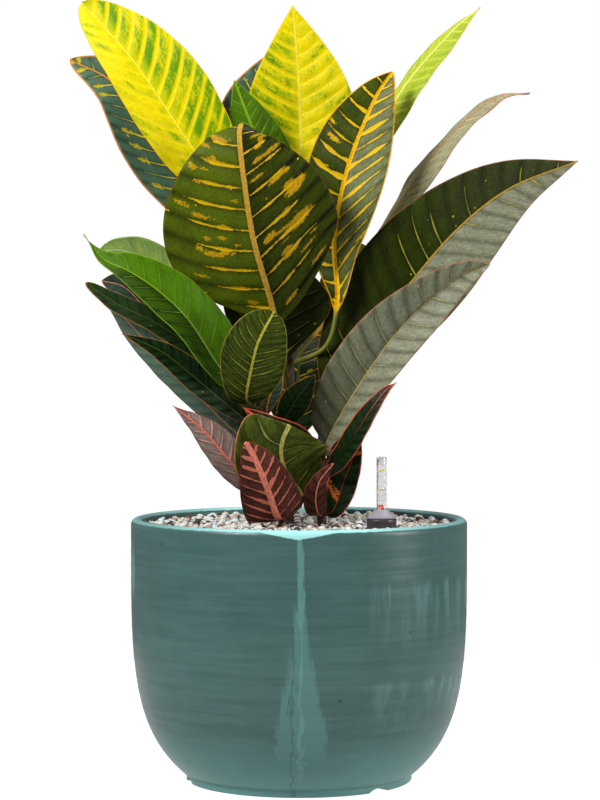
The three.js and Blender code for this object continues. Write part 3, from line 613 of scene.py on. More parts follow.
# Moulded polypropylene, red with two yellow bands round the head
red_pp, tree = new_material("moulded_polypropylene_red")
where = node(tree, "TexCoord", out="Object")
up = node(tree, "SeparateXYZ", where, out="Z")
beat = node(tree, "Math", up, 0.0011, operation="PINGPONG")
band = node(tree, "MapRange", beat, 0.0008, 0.00095)
head_only = node(tree, "Math", up, 0.2034, operation="GREATER_THAN")
banded = node(tree, "Math", band, head_only, operation="MULTIPLY")
grain = node(tree, "TexNoise", where, 500)
red = node(tree, "Mix", grain, linear("e01418"), linear("f02018"), data_type="RGBA")
striped = node(tree, "Mix", banded, red, linear("eab41c"), data_type="RGBA")
smooth = node(tree, "BsdfPrincipled", {"Base Color": striped, "Roughness": 0.35, "IOR": 1.49})
node(tree, "OutputMaterial", smooth)
float_piece = new_piece("gauge_float_red", verts, faces, [red_pp])
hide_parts("gauge_float")
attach(float_piece, "float")

# The stems: three young woody stems, brown and slightly polished, ringed by the scars of leaves
# that have dropped. They go down through the granules to the roots.
STEMS = {
    "main": {
        "path": [(-9, 8, 128), (-8, 8, 200), (-7, 7, 300), (-4, 7, 360), (0, 6, 412)],
        "radius": (4.6, 3),
    },
    "left": {
        "path": [(-12, -5, 140), (-13, -6, 200), (-21, -8, 245), (-28, -9, 290)],
        "radius": (3.6, 2.4),
    },
    "right": {"path": [(16, 2, 136), (17, 1, 200), (17, 2, 262)], "radius": (4, 3)},
}
STEM_SIDES = 28
STEM_STEP = 1.6
SCAR_PITCH = 9
SCAR_HEIGHT = 1.1
SCAR_RISE = (0.16, 0.3)
SCAR_TURN = 2.4
TRACE_STEPS = 400


def trace(points):
    """An even run of places and directions along the smooth line through the points."""
    p = np.asarray(points, float)
    p = np.vstack([2 * p[0] - p[1], p, 2 * p[-1] - p[-2]])
    dense = []
    for i in range(1, len(p) - 2):
        t = np.linspace(0, 1, 120, False)[:, None]
        m0, m1 = (p[i + 1] - p[i - 1]) / 2, (p[i + 2] - p[i]) / 2
        dense.append(
            (2 * t ** 3 - 3 * t ** 2 + 1) * p[i] + (t ** 3 - 2 * t ** 2 + t) * m0
            + (3 * t ** 2 - 2 * t ** 3) * p[i + 1] + (t ** 3 - t ** 2) * m1
        )
    dense = np.vstack(dense + [p[-2:-1]])
    run = np.concatenate([[0], np.cumsum(np.linalg.norm(np.diff(dense, axis=0), axis=1))])
    even = np.linspace(0, run[-1], TRACE_STEPS + 1)
    place = np.stack([np.interp(even, run, dense[:, k]) for k in range(3)], axis=1)
    ahead = np.gradient(place, axis=0)
    return place, ahead / np.linalg.norm(ahead, axis=1)[:, None], run[-1]


# Bark: brown, faintly glossy, with pale corky dots and a green cast where it is young
bark, tree = new_material("young_bark")
where = node(tree, "TexCoord", out="Object")
long_grain = node(tree, "Mapping", where, {"Scale": (1, 1, 0.25)})
fissure = node(tree, "TexNoise", long_grain, 900, 5, 0.65)
brown = node(tree, "Mix", fissure, linear("1d0f0c"), linear("5a3528"), data_type="RGBA")
young = node(tree, "MapRange", node(tree, "SeparateXYZ", where, out="Z"), 0.3, 0.4, 0, 0.8)
greening = node(tree, "Mix", young, brown, linear("3d4a12"), data_type="RGBA")
cork = node(tree, "TexVoronoi", where, 420)
dot = node(tree, "MapRange", cork, 0.12, 0.2, 0.55, 0)
corky = node(tree, "Mix", dot, greening, linear("8f7458"), data_type="RGBA")
ridges = node(tree, "Bump", {"Strength": 0.5, "Distance": 0.0006, "Height": fissure})
woody = node(tree, "BsdfPrincipled", {
    "Base Color": corky, "Roughness": 0.55, "IOR": 1.45, "Normal": ridges,
})
node(tree, "OutputMaterial", woody)

for name, stem in STEMS.items():
    place, ahead, length = trace(stem["path"])
    steps = int(length / STEM_STEP)
    pick = np.round(np.linspace(0, TRACE_STEPS, steps + 1)).astype(int)
    front = np.array([0, -1, 0]) + ahead[pick] * ahead[pick][:, 1:2]
    front /= np.linalg.norm(front, axis=1)[:, None]
    right = np.cross(ahead[pick], front)
    s = np.linspace(0, 1, steps + 1)
    angle = np.linspace(0, 2 * math.pi, STEM_SIDES, False)
    girth = stem["radius"][0] + (stem["radius"][1] - stem["radius"][0]) * s
    # Each scar is a low ring, highest on the side its leaf stood on
    beat = s * length / SCAR_PITCH
    scar = np.floor(beat + 0.5)
    ring = np.exp(-((beat - scar) * SCAR_PITCH / SCAR_HEIGHT) ** 2)
    facing = np.clip(np.cos(angle - SCAR_TURN * scar[:, None]), 0, 1)
    swell = ring[:, None] * (SCAR_RISE[0] + SCAR_RISE[1] * facing ** 2)
    radius = girth[:, None] + swell - 0.1
    points = place[pick][:, None] + right[:, None] * (radius * np.cos(angle))[..., None]
    points = points + front[:, None] * (radius * np.sin(angle))[..., None]
    verts = np.vstack([points.reshape(-1, 3), place[pick[0]], place[pick[-1]]])
    faces = []
    for i in range(steps):
        for k in range(STEM_SIDES):
            a, b = i * STEM_SIDES + k, i * STEM_SIDES + (k + 1) % STEM_SIDES
            faces.append((a, a + STEM_SIDES, b + STEM_SIDES, b))
    tip = steps * STEM_SIDES
    for k in range(STEM_SIDES):
        faces.append((k, (k + 1) % STEM_SIDES, len(verts) - 2))
        faces.append((tip + (k + 1) % STEM_SIDES, tip + k, len(verts) - 1))
    piece = new_piece("stem_" + name + "_bark", verts, faces, [bark])
    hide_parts("stem_" + name)
    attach(piece, "planter")

# The yellow leaves: the youngest blades, lemon yellow with green left between their side veins.
# Each leaf is one blade folded a little along its midrib, on a stalk that grows out of the stem.
BLADE = 0.8
MIDRIB = 2.0
STALK = 3.2
BLADE_SPREAD = 0.12
STALK_STEP = 3
BLADE_STEP = 1.5
RIB_GROOVE = 0.55
RUFFLE = 0.25
VEIN_BEND = 0.22
FIRST_VEIN = {-1: 0.05, 1: 0.5}


def smoothstep(value, low, high):
    """An eased climb from 0 at the low value to 1 at the high one."""
    t = np.clip((value - low) / (high - low), 0, 1)
    return t * t * (3 - 2 * t)


def turned(vector, axis, angle):
    """The vectors turned about their axes, in radians."""
    angle = np.asarray(angle)[..., None]
    along = (vector * axis).sum(-1, keepdims=True)
    swung = vector * np.cos(angle) + np.cross(axis, vector) * np.sin(angle)
    return swung + axis * along * (1 - np.cos(angle))


def grow_leaf(
    name, materials, slot, stem, at, petiole, through, width, widest, ends, turn, twist, fold, wave,
    pitch, slant, pleat, seed, band=(0.4, 0.8, 0.4), reach=(0.7, 0.92), rib=(1.6, 0.5), spoon=0.0,
    missing=0.0, scatter=0, blotches=(), shade=((0.3, 0.3), (0.6, 0.6)), bloom=((0, 0), (0, 0)),
):
    """
    One leaf from its stem to its tip, as a closed blade with its stalk, in millimetres and degrees.
    Its form, as in the solid: the stem and the height on it, the stalk's length, the points its
    spine runs through, the blade's width, how far up it is widest, the powers that round its base
    and tip, its turn, twist, fold at both ends, and the depth and count of its waves.
    Its veins and marks: the side veins' pitch, slant left and right, and how deep the blade is
    pleated between them; the seed; the half width of the veins' coloured bands at the midrib,
    halfway and at the end, how far out these reach, the midrib's half width at its two ends, the
    drops on the bands' ends, the share of bands left out, and how many blotches are scattered,
    besides those given by side, vein, distance out, length and breadth. Last, how deep the painted
    shade on the ground colour is, which also thickens the mottling, and how much painted sheen, a
    grey reflection, lies on it, from base to tip, left and right.
    """
    seeded = np.random.default_rng(seed)
    stem_place, _, _ = trace(STEMS[stem]["path"])
    root = [np.interp(at, stem_place[:, 2], stem_place[:, k]) for k in range(3)]
    place, ahead, length = trace([root, *through])
    middle = TRACE_STEPS // 2
    normal = np.zeros_like(place)
    first = np.array([0, -1, 0]) + ahead[middle] * ahead[middle, 1]
    first /= np.linalg.norm(first)
    normal[middle] = turned(first, ahead[middle], math.radians(turn))
    for way in (1, -1):
        i = middle
        while 0 <= i + way <= TRACE_STEPS:
            carried = normal[i] - ahead[i + way] * (normal[i] @ ahead[i + way])
            normal[i + way] = carried / np.linalg.norm(carried)
            i += way
    start = petiole / length
    blade_length = length - petiole
    stalk_rows = np.linspace(0, start, max(4, int(petiole / STALK_STEP)), False)
    blade_rows = np.linspace(0, 1, max(24, int(blade_length / BLADE_STEP)))
    s = np.concatenate([stalk_rows, start + (1 - start) * blade_rows])
    even = np.linspace(0, 1, TRACE_STEPS + 1)
    place, ahead, normal = (
        np.stack([np.interp(s, even, run[:, k]) for k in range(3)], axis=1)
        for run in (place, ahead, normal)
    )
    ahead /= np.linalg.norm(ahead, axis=1)[:, None]
    normal -= ahead * (normal * ahead).sum(1)[:, None]
    normal /= np.linalg.norm(normal, axis=1)[:, None]
    normal = turned(normal, ahead, np.radians(twist) * (s - 0.5))
    across = np.cross(ahead, normal)

    # The outline: t runs up the blade, u from its left margin at -1 to its right one at 1
    t = np.clip((s - start) / (1 - start), 0, 1)[:, None]
    steps = max(9, int(width / 5))
    outward = np.arange(1, steps) / steps
    u = np.concatenate([[-1], outward - 1, [0], outward, [1]])
    opening = smoothstep(t, 0, BLADE_SPREAD)
    tip_fade = 1 - smoothstep(t, 0.9, 0.99)
    to_widest = np.clip(math.pi / 2 * t / widest, 0, math.pi / 2)
    to_tip = np.clip(math.pi / 2 * (1 - t) / (1 - widest), 0, math.pi / 2)
    rise = np.where(t < widest, np.sin(to_widest) ** ends[0], np.sin(to_tip) ** ends[1])
    half = np.maximum.reduce([STALK / 2 * (1 - t), width / 2 * rise, np.full_like(t, BLADE / 2)])
    lean = np.radians(fold[0] + (fold[1] - fold[0]) * t) * opening

    # Side veins leave the midrib at the slant and bend towards the tip as they near the margin
    out = np.abs(u) * half
    bend = VEIN_BEND * out ** 2 / np.maximum(half, 4)
    slopes = {side: math.radians(slant[side > 0]) for side in (-1, 1)}
    squares = {side: pitch * math.sin(slopes[side]) for side in slopes}
    phases = {
        side: (t * blade_length - out / math.tan(slopes[side]) - bend) / pitch + FIRST_VEIN[side]
        for side in slopes
    }
    beat = np.where(u < 0, phases[-1], phases[1])
    pillow = (np.abs(np.sin(math.pi * beat)) ** 0.8 - 0.55) * pleat * smoothstep(out, 0.5, 5.0)
    pillow *= (1 - smoothstep(np.abs(u), 0.8, 1.0)) * opening
    pillow *= tip_fade
    ragged = sum(np.sin(2 * math.pi * k * t + seeded.uniform(0, 6)) for k in (3, 5, 8))
    edge_lift = RUFFLE * ragged * u ** 4 * np.sign(u) * opening * tip_fade
    ripple = wave[0] * u ** 2 * np.sin(2 * math.pi * wave[1] * t + np.sign(u)) * opening
    wide = half * u * np.cos(lean)
    lift = half * np.abs(u) * np.sin(lean) + ripple + pillow + edge_lift
    round_stalk = STALK * np.sqrt(1 - 0.9 * u ** 2)
    flat = BLADE + (MIDRIB - BLADE) * ((1 - t) * (1 - np.abs(u)) ** 3)
    # A real blade thins out to its margin
    flat = flat * (1 - 0.55 * u ** 6)
    thick = (round_stalk + (flat - round_stalk) * opening) / 2
    tilt = (np.sign(u) * np.sin(lean))[..., None]
    face = normal[:, None] * np.cos(lean)[..., None] - across[:, None] * tilt
    centre = place[:, None] + across[:, None] * wide[..., None] + normal[:, None] * lift[..., None]
    groove = RIB_GROOVE * np.exp(-(out / 1.3) ** 2) * opening * (1 - t)
    upper = centre + face * (thick - groove)[..., None]
    lower = centre - face * thick[..., None]
    rows, count = out.shape
    low = rows * count

    faces, which, halves = [], [], []
    for i in range(rows - 1):
        a, d = i * count, (i + 1) * count
        for k in range(count - 1):
            faces.append((a + k, a + k + 1, d + k + 1, d + k))
            faces.append((low + a + k, low + d + k, low + d + k + 1, low + a + k + 1))
            which += [0, 1]
            halves += [-1 if u[k] < 0 else 1] * 2
        for k, side in ((0, -1), (count - 1, 1)):
            margin = (a + k, d + k, low + d + k, low + a + k)
            faces.append(margin if side < 0 else margin[::-1])
            which.append(0)
            halves.append(side)
    for i, flip in ((0, 1), (rows - 1, -1)):
        for k in range(count - 1):
            a = i * count + k
            faces.append((a, low + a, low + a + 1, a + 1)[::flip])
            which.append(0)
            halves.append(-1 if u[k] < 0 else 1)
    verts = np.vstack([upper.reshape(-1, 3), lower.reshape(-1, 3)])
    piece = new_piece(name + "_blade", verts, faces, materials, which)
    if piece.data.polygons[0].normal @ Vector(face[0, 0]) < 0:
        piece.data.flip_normals()

    # What the skin reads: place on the blade, the nearest side vein and its band, midrib and margin
    veins = int(blade_length / pitch) + 4
    strength = {side: np.clip(seeded.normal(1, 0.35, veins + 8), 0.25, 1.7) for side in (-1, 1)}
    for side in (-1, 1):
        strength[side][seeded.random(veins + 8) < missing] = 0
    limits = {side: seeded.uniform(*reach, veins + 8) for side in (-1, 1)}
    spots = list(blotches)
    for _ in range(scatter):
        side = int(seeded.choice((-1, 1)))
        spots.append((
            side, seeded.uniform(1, veins - 3), seeded.uniform(0.12, 0.75) * width / 2,
            seeded.uniform(2, 9), seeded.uniform(0.7, 2.2),
        ))

    def graded(levels):
        return np.interp(t, np.linspace(0, 1, len(levels)), levels)

    fields = {}
    for side in (-1, 1):
        beat, square = phases[side], squares[side]
        index = np.clip(np.round(beat).astype(int) + 3, 0, veins + 7)
        far = np.abs(u) / limits[side][index]
        body = np.interp(far, (0, 0.55, 1), band) * strength[side][index]
        body *= 1 - smoothstep(far, 0.85, 1.05)
        body = body * (0.85 + 0.35 * np.sin(out * 0.35 + index * 1.7))
        blob = np.full_like(out, -1.0)
        for spot_side, vein, distance, long, broad in spots:
            if spot_side == side:
                off = ((out - distance) / long) ** 2 + ((beat - vein) * square / broad) ** 2
                blob = np.maximum(blob, 1 - off)
        for k in range(veins if spoon else 0):
            if strength[side][k + 3] > 0.9:
                beyond = (out - limits[side][k + 3] * half) / (spoon * 1.9)
                blob = np.maximum(blob, 1 - (beyond ** 2 + ((beat - k) * square / spoon) ** 2))
        midrib = rib[0] + (rib[1] - rib[0]) * t
        layers = {
            "blade": (beat * square, out * side, seed * 37.0),
            "veins": (beat, body, square),
            "marks": (out - midrib, half * (1 - np.abs(u)), np.clip(blob, -1, 1)),
            "skin": (graded(shade[side > 0]), graded(bloom[side > 0]), 1 - smoothstep(t, 0, 0.05)),
        }
        fields[side] = {
            key: np.stack(np.broadcast_arrays(out, *three)[1:], axis=2).reshape(-1, 3)
            for key, three in layers.items()
        }
    # Each corner reads the fields of its own half of the blade, so they may break at the midrib
    loops = np.zeros(len(piece.data.loops), int)
    piece.data.loops.foreach_get("vertex_index", loops)
    loops %= low
    halves = np.repeat(halves, 4)[:, None]
    for key in layers:
        data = np.where(halves < 0, fields[-1][key][loops], fields[1][key][loops])
        layer = piece.data.attributes.new(key, "FLOAT_VECTOR", "CORNER")
        layer.data.foreach_set("vector", data.astype(np.float32).ravel())
    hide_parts(name)
    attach(piece, "planter")


def leaf_skin(
    name, colours, painted_sheen_colour="868a6c", rough=(0.38, 0.52), gloss=0.25, bump=0.3, pleat_shade=0.4, halo=0.0,
    line=0.0, speckle=0.0, rag=0.9, soft=0.25, mottle_cut=(0.45, 0.6), clump=0.4, grain=0.0,
    rim_width=0.6, pores=(0.78, 1.2),
):
    """
    The waxy skin of a blade. Its colours are those of the ground, the deeper ground, the mottling
    between the side veins, the marks, their deeper patches, midrib, margin and stalk, and the
    painted sheen colour is a grey reflection painted on the blade. Then: roughness, gloss and bump,
    how dark the painted shade in the pleats and beside the midrib is, the glow and the fine line
    along each side vein, the share of specks, how ragged and soft the bands are, where the mottling
    sets in, how it clumps and how fine it is, the margin's width, and the darkest and lightest of
    the pores.
    Patterns are in millimetres.
    """
    material, tree = new_material(name)
    ground, deep, mottle, mark, mark_deep, rib, rim, stalk = map(linear, colours.split())
    where, *fields = [
        node(tree, "Attribute", out="Vector", attribute_name=key)
        for key in ("blade", "veins", "marks", "skin")
    ]
    veins, marks, skin = [node(tree, "SeparateXYZ", field).node.outputs for field in fields]
    cloud = node(tree, "TexNoise", where, 0.07, 4, 0.6)
    cell = node(tree, "TexNoise", where, 0.55, 5, 0.75)
    drawn = node(tree, "Mapping", where, {"Scale": (0.28, 0.1, 1.0)})
    streak = node(tree, "TexNoise", drawn, 1, 5, 0.7)
    combed = node(tree, "Mapping", where, {"Scale": (0.95, 0.3, 1.0)})
    wisp = node(tree, "TexNoise", combed, 1, 4, 0.7)

    # Distance to the nearest side vein, and whether the place lies in its ragged band
    nearest = node(tree, "Math", veins[0], 0.5, operation="PINGPONG")
    away = node(tree, "Math", nearest, veins[2], operation="MULTIPLY")
    frayed = away
    for field, much in ((wisp, 2.0), (cell, 1.8)):
        frayed = node(tree, "Math", field, much * rag, frayed, operation="MULTIPLY_ADD")
    within = node(tree, "Math", veins[1], frayed, operation="SUBTRACT")
    banded = node(tree, "MapRange", within, -1.9 * rag - soft, -1.9 * rag + soft)
    has_band = node(tree, "MapRange", veins[1], 0, 0.08)
    banded = node(tree, "Math", banded, has_band, operation="MULTIPLY")

    torn = marks[2]
    for field, much in ((wisp, 2), (cell, 3)):
        torn = node(tree, "Math", field, much, torn, operation="MULTIPLY_ADD")
    blotched = node(tree, "MapRange", torn, 2.5, 3, 0, 0.85)
    dot = node(tree, "TexVoronoi", where, 0.17)
    chance = node(tree, "SeparateColor", dot.node.outputs["Color"])
    sized = node(tree, "MapRange", chance, 1 - speckle, 1, -0.02, 0.16)
    small = node(tree, "Math", sized, dot, operation="SUBTRACT")
    specks = node(tree, "MapRange", small, 0, 0.04)
    fine = node(tree, "MapRange", away, 0.12, 0.42, line, 0)
    marked = banded
    for more in (blotched, specks, fine):
        marked = node(tree, "Math", marked, more, operation="MAXIMUM")

    # Ground: deeper in random patches and under the painted shade given for each half along the
    # blade, mottled between the side veins
    patchy = node(tree, "MapRange", cloud, 0.3, 0.7, -0.3, 0.3)
    depth = node(tree, "Math", skin[0], patchy, operation="ADD", use_clamp=True)
    colour = node(tree, "Mix", depth, ground, deep, data_type="RGBA")
    between = node(tree, "MapRange", away, 0.3, 2.6)
    fleck = node(tree, "Mix", grain, streak, cell)
    deeper = node(tree, "Math", skin[0], 0.35, fleck, operation="MULTIPLY_ADD")
    deeper = node(tree, "Math", cloud, clump, deeper, operation="MULTIPLY_ADD")
    deeper = node(tree, "Math", deeper, 0.5 * clump, operation="SUBTRACT")
    spread = node(tree, "MapRange", deeper, mottle_cut[0], mottle_cut[1])
    inland = node(tree, "MapRange", marks[0], 0.5, 9, 0.15)
    mottled = spread
    for mask in (between, inland):
        mottled = node(tree, "Math", mottled, mask, operation="MULTIPLY")
    colour = node(tree, "Mix", mottled, colour, mottle, data_type="RGBA")
    tint = node(tree, "MapRange", cell, 0.38, 0.62)
    apart = node(tree, "Math", blotched, banded, operation="SUBTRACT")
    tint = node(tree, "Math", tint, apart, operation="MAXIMUM", use_clamp=True)
    bright = node(tree, "Mix", tint, mark, mark_deep, data_type="RGBA")
    glow = node(tree, "MapRange", away, 0, 2.5, halo, 0)
    colour = node(tree, "Mix", glow, colour, bright, data_type="RGBA")
    # Painted sheen: a grey reflection of the lamps, in streaks, on the halves that face up into the
    # light
    painted_sheen_mask = node(tree, "MapRange", streak, 0.25, 0.6, 0.55)
    painted_sheen_mask = node(tree, "Math", painted_sheen_mask, skin[1], operation="MULTIPLY")
    colour = node(tree, "Mix", painted_sheen_mask, colour, linear(painted_sheen_colour), data_type="RGBA")
    # Pleats: painted shade in the crease at each side vein, deepening across the pillow towards the
    # next vein, and painted shadow beside the midrib
    crease_shade = node(tree, "MapRange", nearest, 0.03, 0.3, 1 - pleat_shade)
    since = node(tree, "Math", veins[0], operation="FRACT")
    slope_shade = node(tree, "MapRange", since, 0.15, 1, 1, 1 - 0.6 * pleat_shade)
    shaded = node(tree, "Math", crease_shade, slope_shade, operation="MULTIPLY")
    rib_shadow = node(tree, "MapRange", marks[0], 0.1, 1.5, 1 - pleat_shade)
    shaded = node(tree, "Math", shaded, rib_shadow, operation="MULTIPLY")
    colour = node(tree, "Mix", 1, colour, shaded, data_type="RGBA", blend_type="MULTIPLY")

    # Over all that lie the marks, the margin, the midrib and the stalk
    rim_frayed = node(tree, "Math", cell, 0.5 * rim_width, marks[1], operation="MULTIPLY_ADD")
    at_rim = node(tree, "MapRange", rim_frayed, rim_width, rim_width * 1.4, 1, 0)
    rib_frayed = marks[0]
    for field in (wisp, cell):
        rib_frayed = node(tree, "Math", field, rag, rib_frayed, operation="MULTIPLY_ADD")
    at_rib = node(tree, "MapRange", rib_frayed, rag - 0.15, rag + 0.25, 1, 0)
    for mask, tone in ((marked, bright), (at_rim, rim), (at_rib, rib), (skin[2], stalk)):
        colour = node(tree, "Mix", mask, colour, tone, data_type="RGBA")
    pitted = node(tree, "MapRange", cell, 0.3, 0.7, pores[0], pores[1])
    colour = node(tree, "Mix", 1, colour, pitted, data_type="RGBA", blend_type="MULTIPLY")

    net = node(tree, "TexVoronoi", where, 0.42, feature="DISTANCE_TO_EDGE")
    sunk = node(tree, "MapRange", away, 0, 0.9, -1.0, 0)
    mesh_like = node(tree, "MapRange", net, 0, 0.12, -0.35, 0)
    relief = node(tree, "Math", sunk, mesh_like, operation="ADD")
    relief = node(tree, "Math", cell, 0.5, relief, operation="MULTIPLY_ADD")
    uneven = node(tree, "Bump", {"Strength": bump, "Distance": 0.0006, "Height": relief})
    wax = node(tree, "MapRange", cloud, 0.3, 0.7, rough[0], rough[1])
    leaf = node(tree, "BsdfPrincipled", {
        "Base Color": colour, "Roughness": wax, "IOR": 1.42, "Specular IOR Level": gloss,
        "Normal": uneven,
    })
    node(tree, "OutputMaterial", leaf)
    return material


# Waxed leaf, yellow: chlorophyll only in flecks between the veins, so the light comes back warm
yellow_top = leaf_skin(
    "leaf_wax_yellow", "eed600 c6cc00 609200 fae000 eeda08 f2e248 f4b800 b8bc3c",
    mottle_cut=(0.61, 0.77), clump=0.8, grain=0.85, rim_width=0.5, halo=0.6, pleat_shade=0.05,
    gloss=0.15, soft=1.6, rag=1.8, pores=(0.72, 1.28),
)
yellow_under = leaf_skin(
    "leaf_back_yellow", "c8c848 b0b840 88a040 dcd878 e0dc88 ead890 d8b030 b8bc3c", rough=(0.5, 0.6),
    pleat_shade=0.1,
)
lime_top = leaf_skin(
    "leaf_wax_lime", "bccc34 a8bc2c 94ac28 ccd840 d8dc60 e2e080 d0c820 a8b840",
    mottle_cut=(0.5, 0.75), halo=0.3, pleat_shade=0.1, rag=0.4, line=0.4,
)
lime_under = leaf_skin(
    "leaf_back_lime", "b8c878 a4ba64 8aa850 d0dc90 d8e0a0 e4e8b0 d0c860 a8b840", rough=(0.5, 0.6),
    pleat_shade=0.1,
)
# name, skins, stem, height on it, stalk, spine, width, widest at, ends, turn, twist, fold, wave,
# vein pitch, slant, pleat, seed, and the marks
for name, skins, *form, marks in (
    ("leaf_yellow_left", [yellow_top, yellow_under], "main", 364, 28,
     [(-27, -6, 401), (-74, -14, 462), (-121, -12, 531), (-161, -2, 576.2)], 76, 0.6, (1, 0.6), 22,
     4, (30, 26), (2, 2), 13, (58, 58), 0.9, 3, dict(band=(0.7, 0.8, 0.5), reach=(0.8, 0.97),
     rib=(0.8, 0.5), shade=((0.15, 0.3), (0.72, 0.62)))),
    ("leaf_yellow_crown", [yellow_top, yellow_under], "main", 410, 14,
     [(1, 10, 440), (1, 14, 481), (-1, 14, 529), (-5, 12, 576.2)], 85, 0.42, (0.8, 1), 4, 0,
     (12, 14), (1, 2), 11, (70, 70), 0.9, 5, dict(band=(1.0, 1.1, 0.7), reach=(0.85, 0.97),
     rib=(1.3, 0.5), shade=((0.6, 0.4), (0.3, 0.3)))),
    ("leaf_lime_right", [lime_top, lime_under], "main", 348, 60,
     [(27, 22, 417), (72, 24, 506), (111, 20, 554), (135, 12, 575)], 40, 0.6, (1, 0.85), -62, 0,
     (-11, -11), (1, 3), 10, (60, 60), 0.5, 6, dict(band=(0.36, 0.4, 0.24), rib=(1.4, 0.6))),
):
    grow_leaf(name, skins, "leaf_yellow", *form, **marks)

# The blue-green leaves: older blades with a bluish bloom, a few yellow side veins that end in
# drops, and an orange margin and midrib. Their stalks sit on the main and the left stem.
# Waxed leaf, blue-green: the bloom turns the dark green bluish and dulls its gloss
blue_top = leaf_skin(
    "leaf_wax_blue_green", "5a7a62 34523e 48684e dcd408 d8bc08 d98a30 c8822c 7a8a3a",
    mottle_cut=(0.7, 0.85), speckle=0.25, rough=(0.4, 0.52), pleat_shade=0.4, rag=0.35, rim_width=1.1,
)
blue_under = leaf_skin(
    "leaf_back_blue_grey", "64806a 4a6450 5b7266 75857a 8a958a c98f70 8a6a50 7a8a3a",
    rough=(0.5, 0.62), mottle_cut=(0.6, 0.85), pleat_shade=0.2,
)
salmon_ribbed = leaf_skin(
    "leaf_wax_salmon_ribbed", "40594a 1a3024 3c5c44 c9bc30 c8a040 cf8468 a8683c 7a8a3a",
    mottle_cut=(0.7, 0.85), speckle=0.06, rough=(0.45, 0.6), pleat_shade=0.35,
)
for name, top, *form, marks in (
    ("leaf_blue_left", blue_top, "main", 355, 30,
     [(-51, 8, 402), (-100, 2, 461), (-134, 0, 514), (-170, 2, 535)], 58, 0.56, (1, 0.7), 20, 0,
     (16, 12), (1.2, 2), 12, (52, 52), 0.9, 8, dict(band=(0.41, 0.45, 0.27), reach=(0.5, 0.75),
     rib=(1.0, 0.6), spoon=2.3, missing=0.1, shade=((0.4, 0.1), (0.4, 0.1)))),
    ("leaf_blue_crown", blue_top, "main", 392, 20, [(-28, 26, 455), (-35, 32, 496), (-15, 34, 547)],
     54, 0.5, (0.9, 0.8), -10, 0, (8, 8), (1, 2), 12, (62, 62), 0.8, 9, dict(band=(0.72, 0.8, 0.48),
     reach=(0.6, 0.85), rib=(1.5, 0.6), spoon=1.2, shade=((0.8, 0.6), (0.8, 0.6)))),
    ("leaf_grey_left", salmon_ribbed, "left", 268, 16,
     [(-73, -2, 312), (-110, -6, 347), (-129, -8, 366), (-146, -8, 371)], 46, 0.55, (0.9, 0.7), 10,
     0, (8, 8), (0.8, 2), 11, (62, 62), 0.5, 10, dict(missing=1.0, rib=(0.4, 0.3))),
    ("leaf_low_left", blue_top, "left", 241, 9,
     [(-45, -14, 258), (-79, -22, 291), (-112, -24, 326), (-143, -24, 360)], 28, 0.6, (0.6, 0.8),
     155, 0, (6, 6), (0.6, 2), 10, (60, 60), 0.4, 12, dict(missing=1.0, rib=(0.5, 0.3))),
):
    grow_leaf(name, [top, blue_under], "leaf_blue", *form, **marks)

# The green leaves: fresh, evenly green blades with pale thin veins, on stalks at the top and the
# left of the plant. The pale one at the left hangs turned over, with its back to the front.
# Waxed leaf, green: nothing but green under thin wax, yellower where light comes through
green_top = leaf_skin(
    "leaf_wax_green", "4e7a02 1a3000 305000 6f9010 7fa020 7ca018 7c9818 6a8420",
    mottle_cut=(0.6, 0.85), rim_width=0.4, gloss=0.15, pleat_shade=0.12, rag=0.3,
)
pale_top = leaf_skin(
    "leaf_wax_pale_green", "9cb648 86a828 b0c478 b8c878 c4d090 c8d498 a8b860 6a8420",
    mottle_cut=(0.6, 0.85), rim_width=0.4, gloss=0.15, pleat_shade=0.12, rag=0.3,
)
green_under = leaf_skin(
    "leaf_back_green", "a0ba58 8cb05c 8aae58 bcd090 c0d498 c8d8a0 a0b858 6a8420", rough=(0.5, 0.62),
    pleat_shade=0.12,
)
for name, top, *form, marks in (
    ("leaf_green_bud", green_top, "main", 400, 22, [(-18, -4, 442), (-35, -6, 485), (-48, -4, 519)],
     42, 0.42, (0.9, 0.9), 12, 0, (8, 8), (0.5, 2), 8, (55, 55), 0.6, 14,
     dict(band=(0.32, 0.35, 0.21), rib=(1.6, 0.8), shade=((0.3, 0.0), (0.5, 0.1)))),
    ("leaf_green_left", green_top, "left", 286, 26, [(-52, -28, 299), (-80, -44, 341),
     (-101, -50, 362), (-123, -50, 377), (-142, -44, 386), (-157, -36, 404)], 51, 0.3, (0.8, 1.3),
     34, 0, (28, 22), (3, 1.5), 14, (55, 55), 0.5, 15, dict(band=(0.14, 0.15, 0.09), rib=(0.6, 0.4),
     shade=((1.3, 1.3, 1.3, 1.2, 0.5, -0.3), (0.6, 0.25, 0.1, 0.0, -0.3)))),
    ("leaf_pale_left", pale_top, "left", 288, 14, [(-50, -4, 321), (-85, -21, 362),
     (-111, -28, 386), (-130, -32, 393), (-146, -32, 392)], 30, 0.7, (1, 0.55), 165, 0, (6, 6),
     (1, 2), 12, (55, 55), 0.4, 16, dict(band=(0.18, 0.2, 0.12), rib=(0.6, 0.4))),
):
    grow_leaf(name, [top, green_under], "leaf_green", *form, **marks)

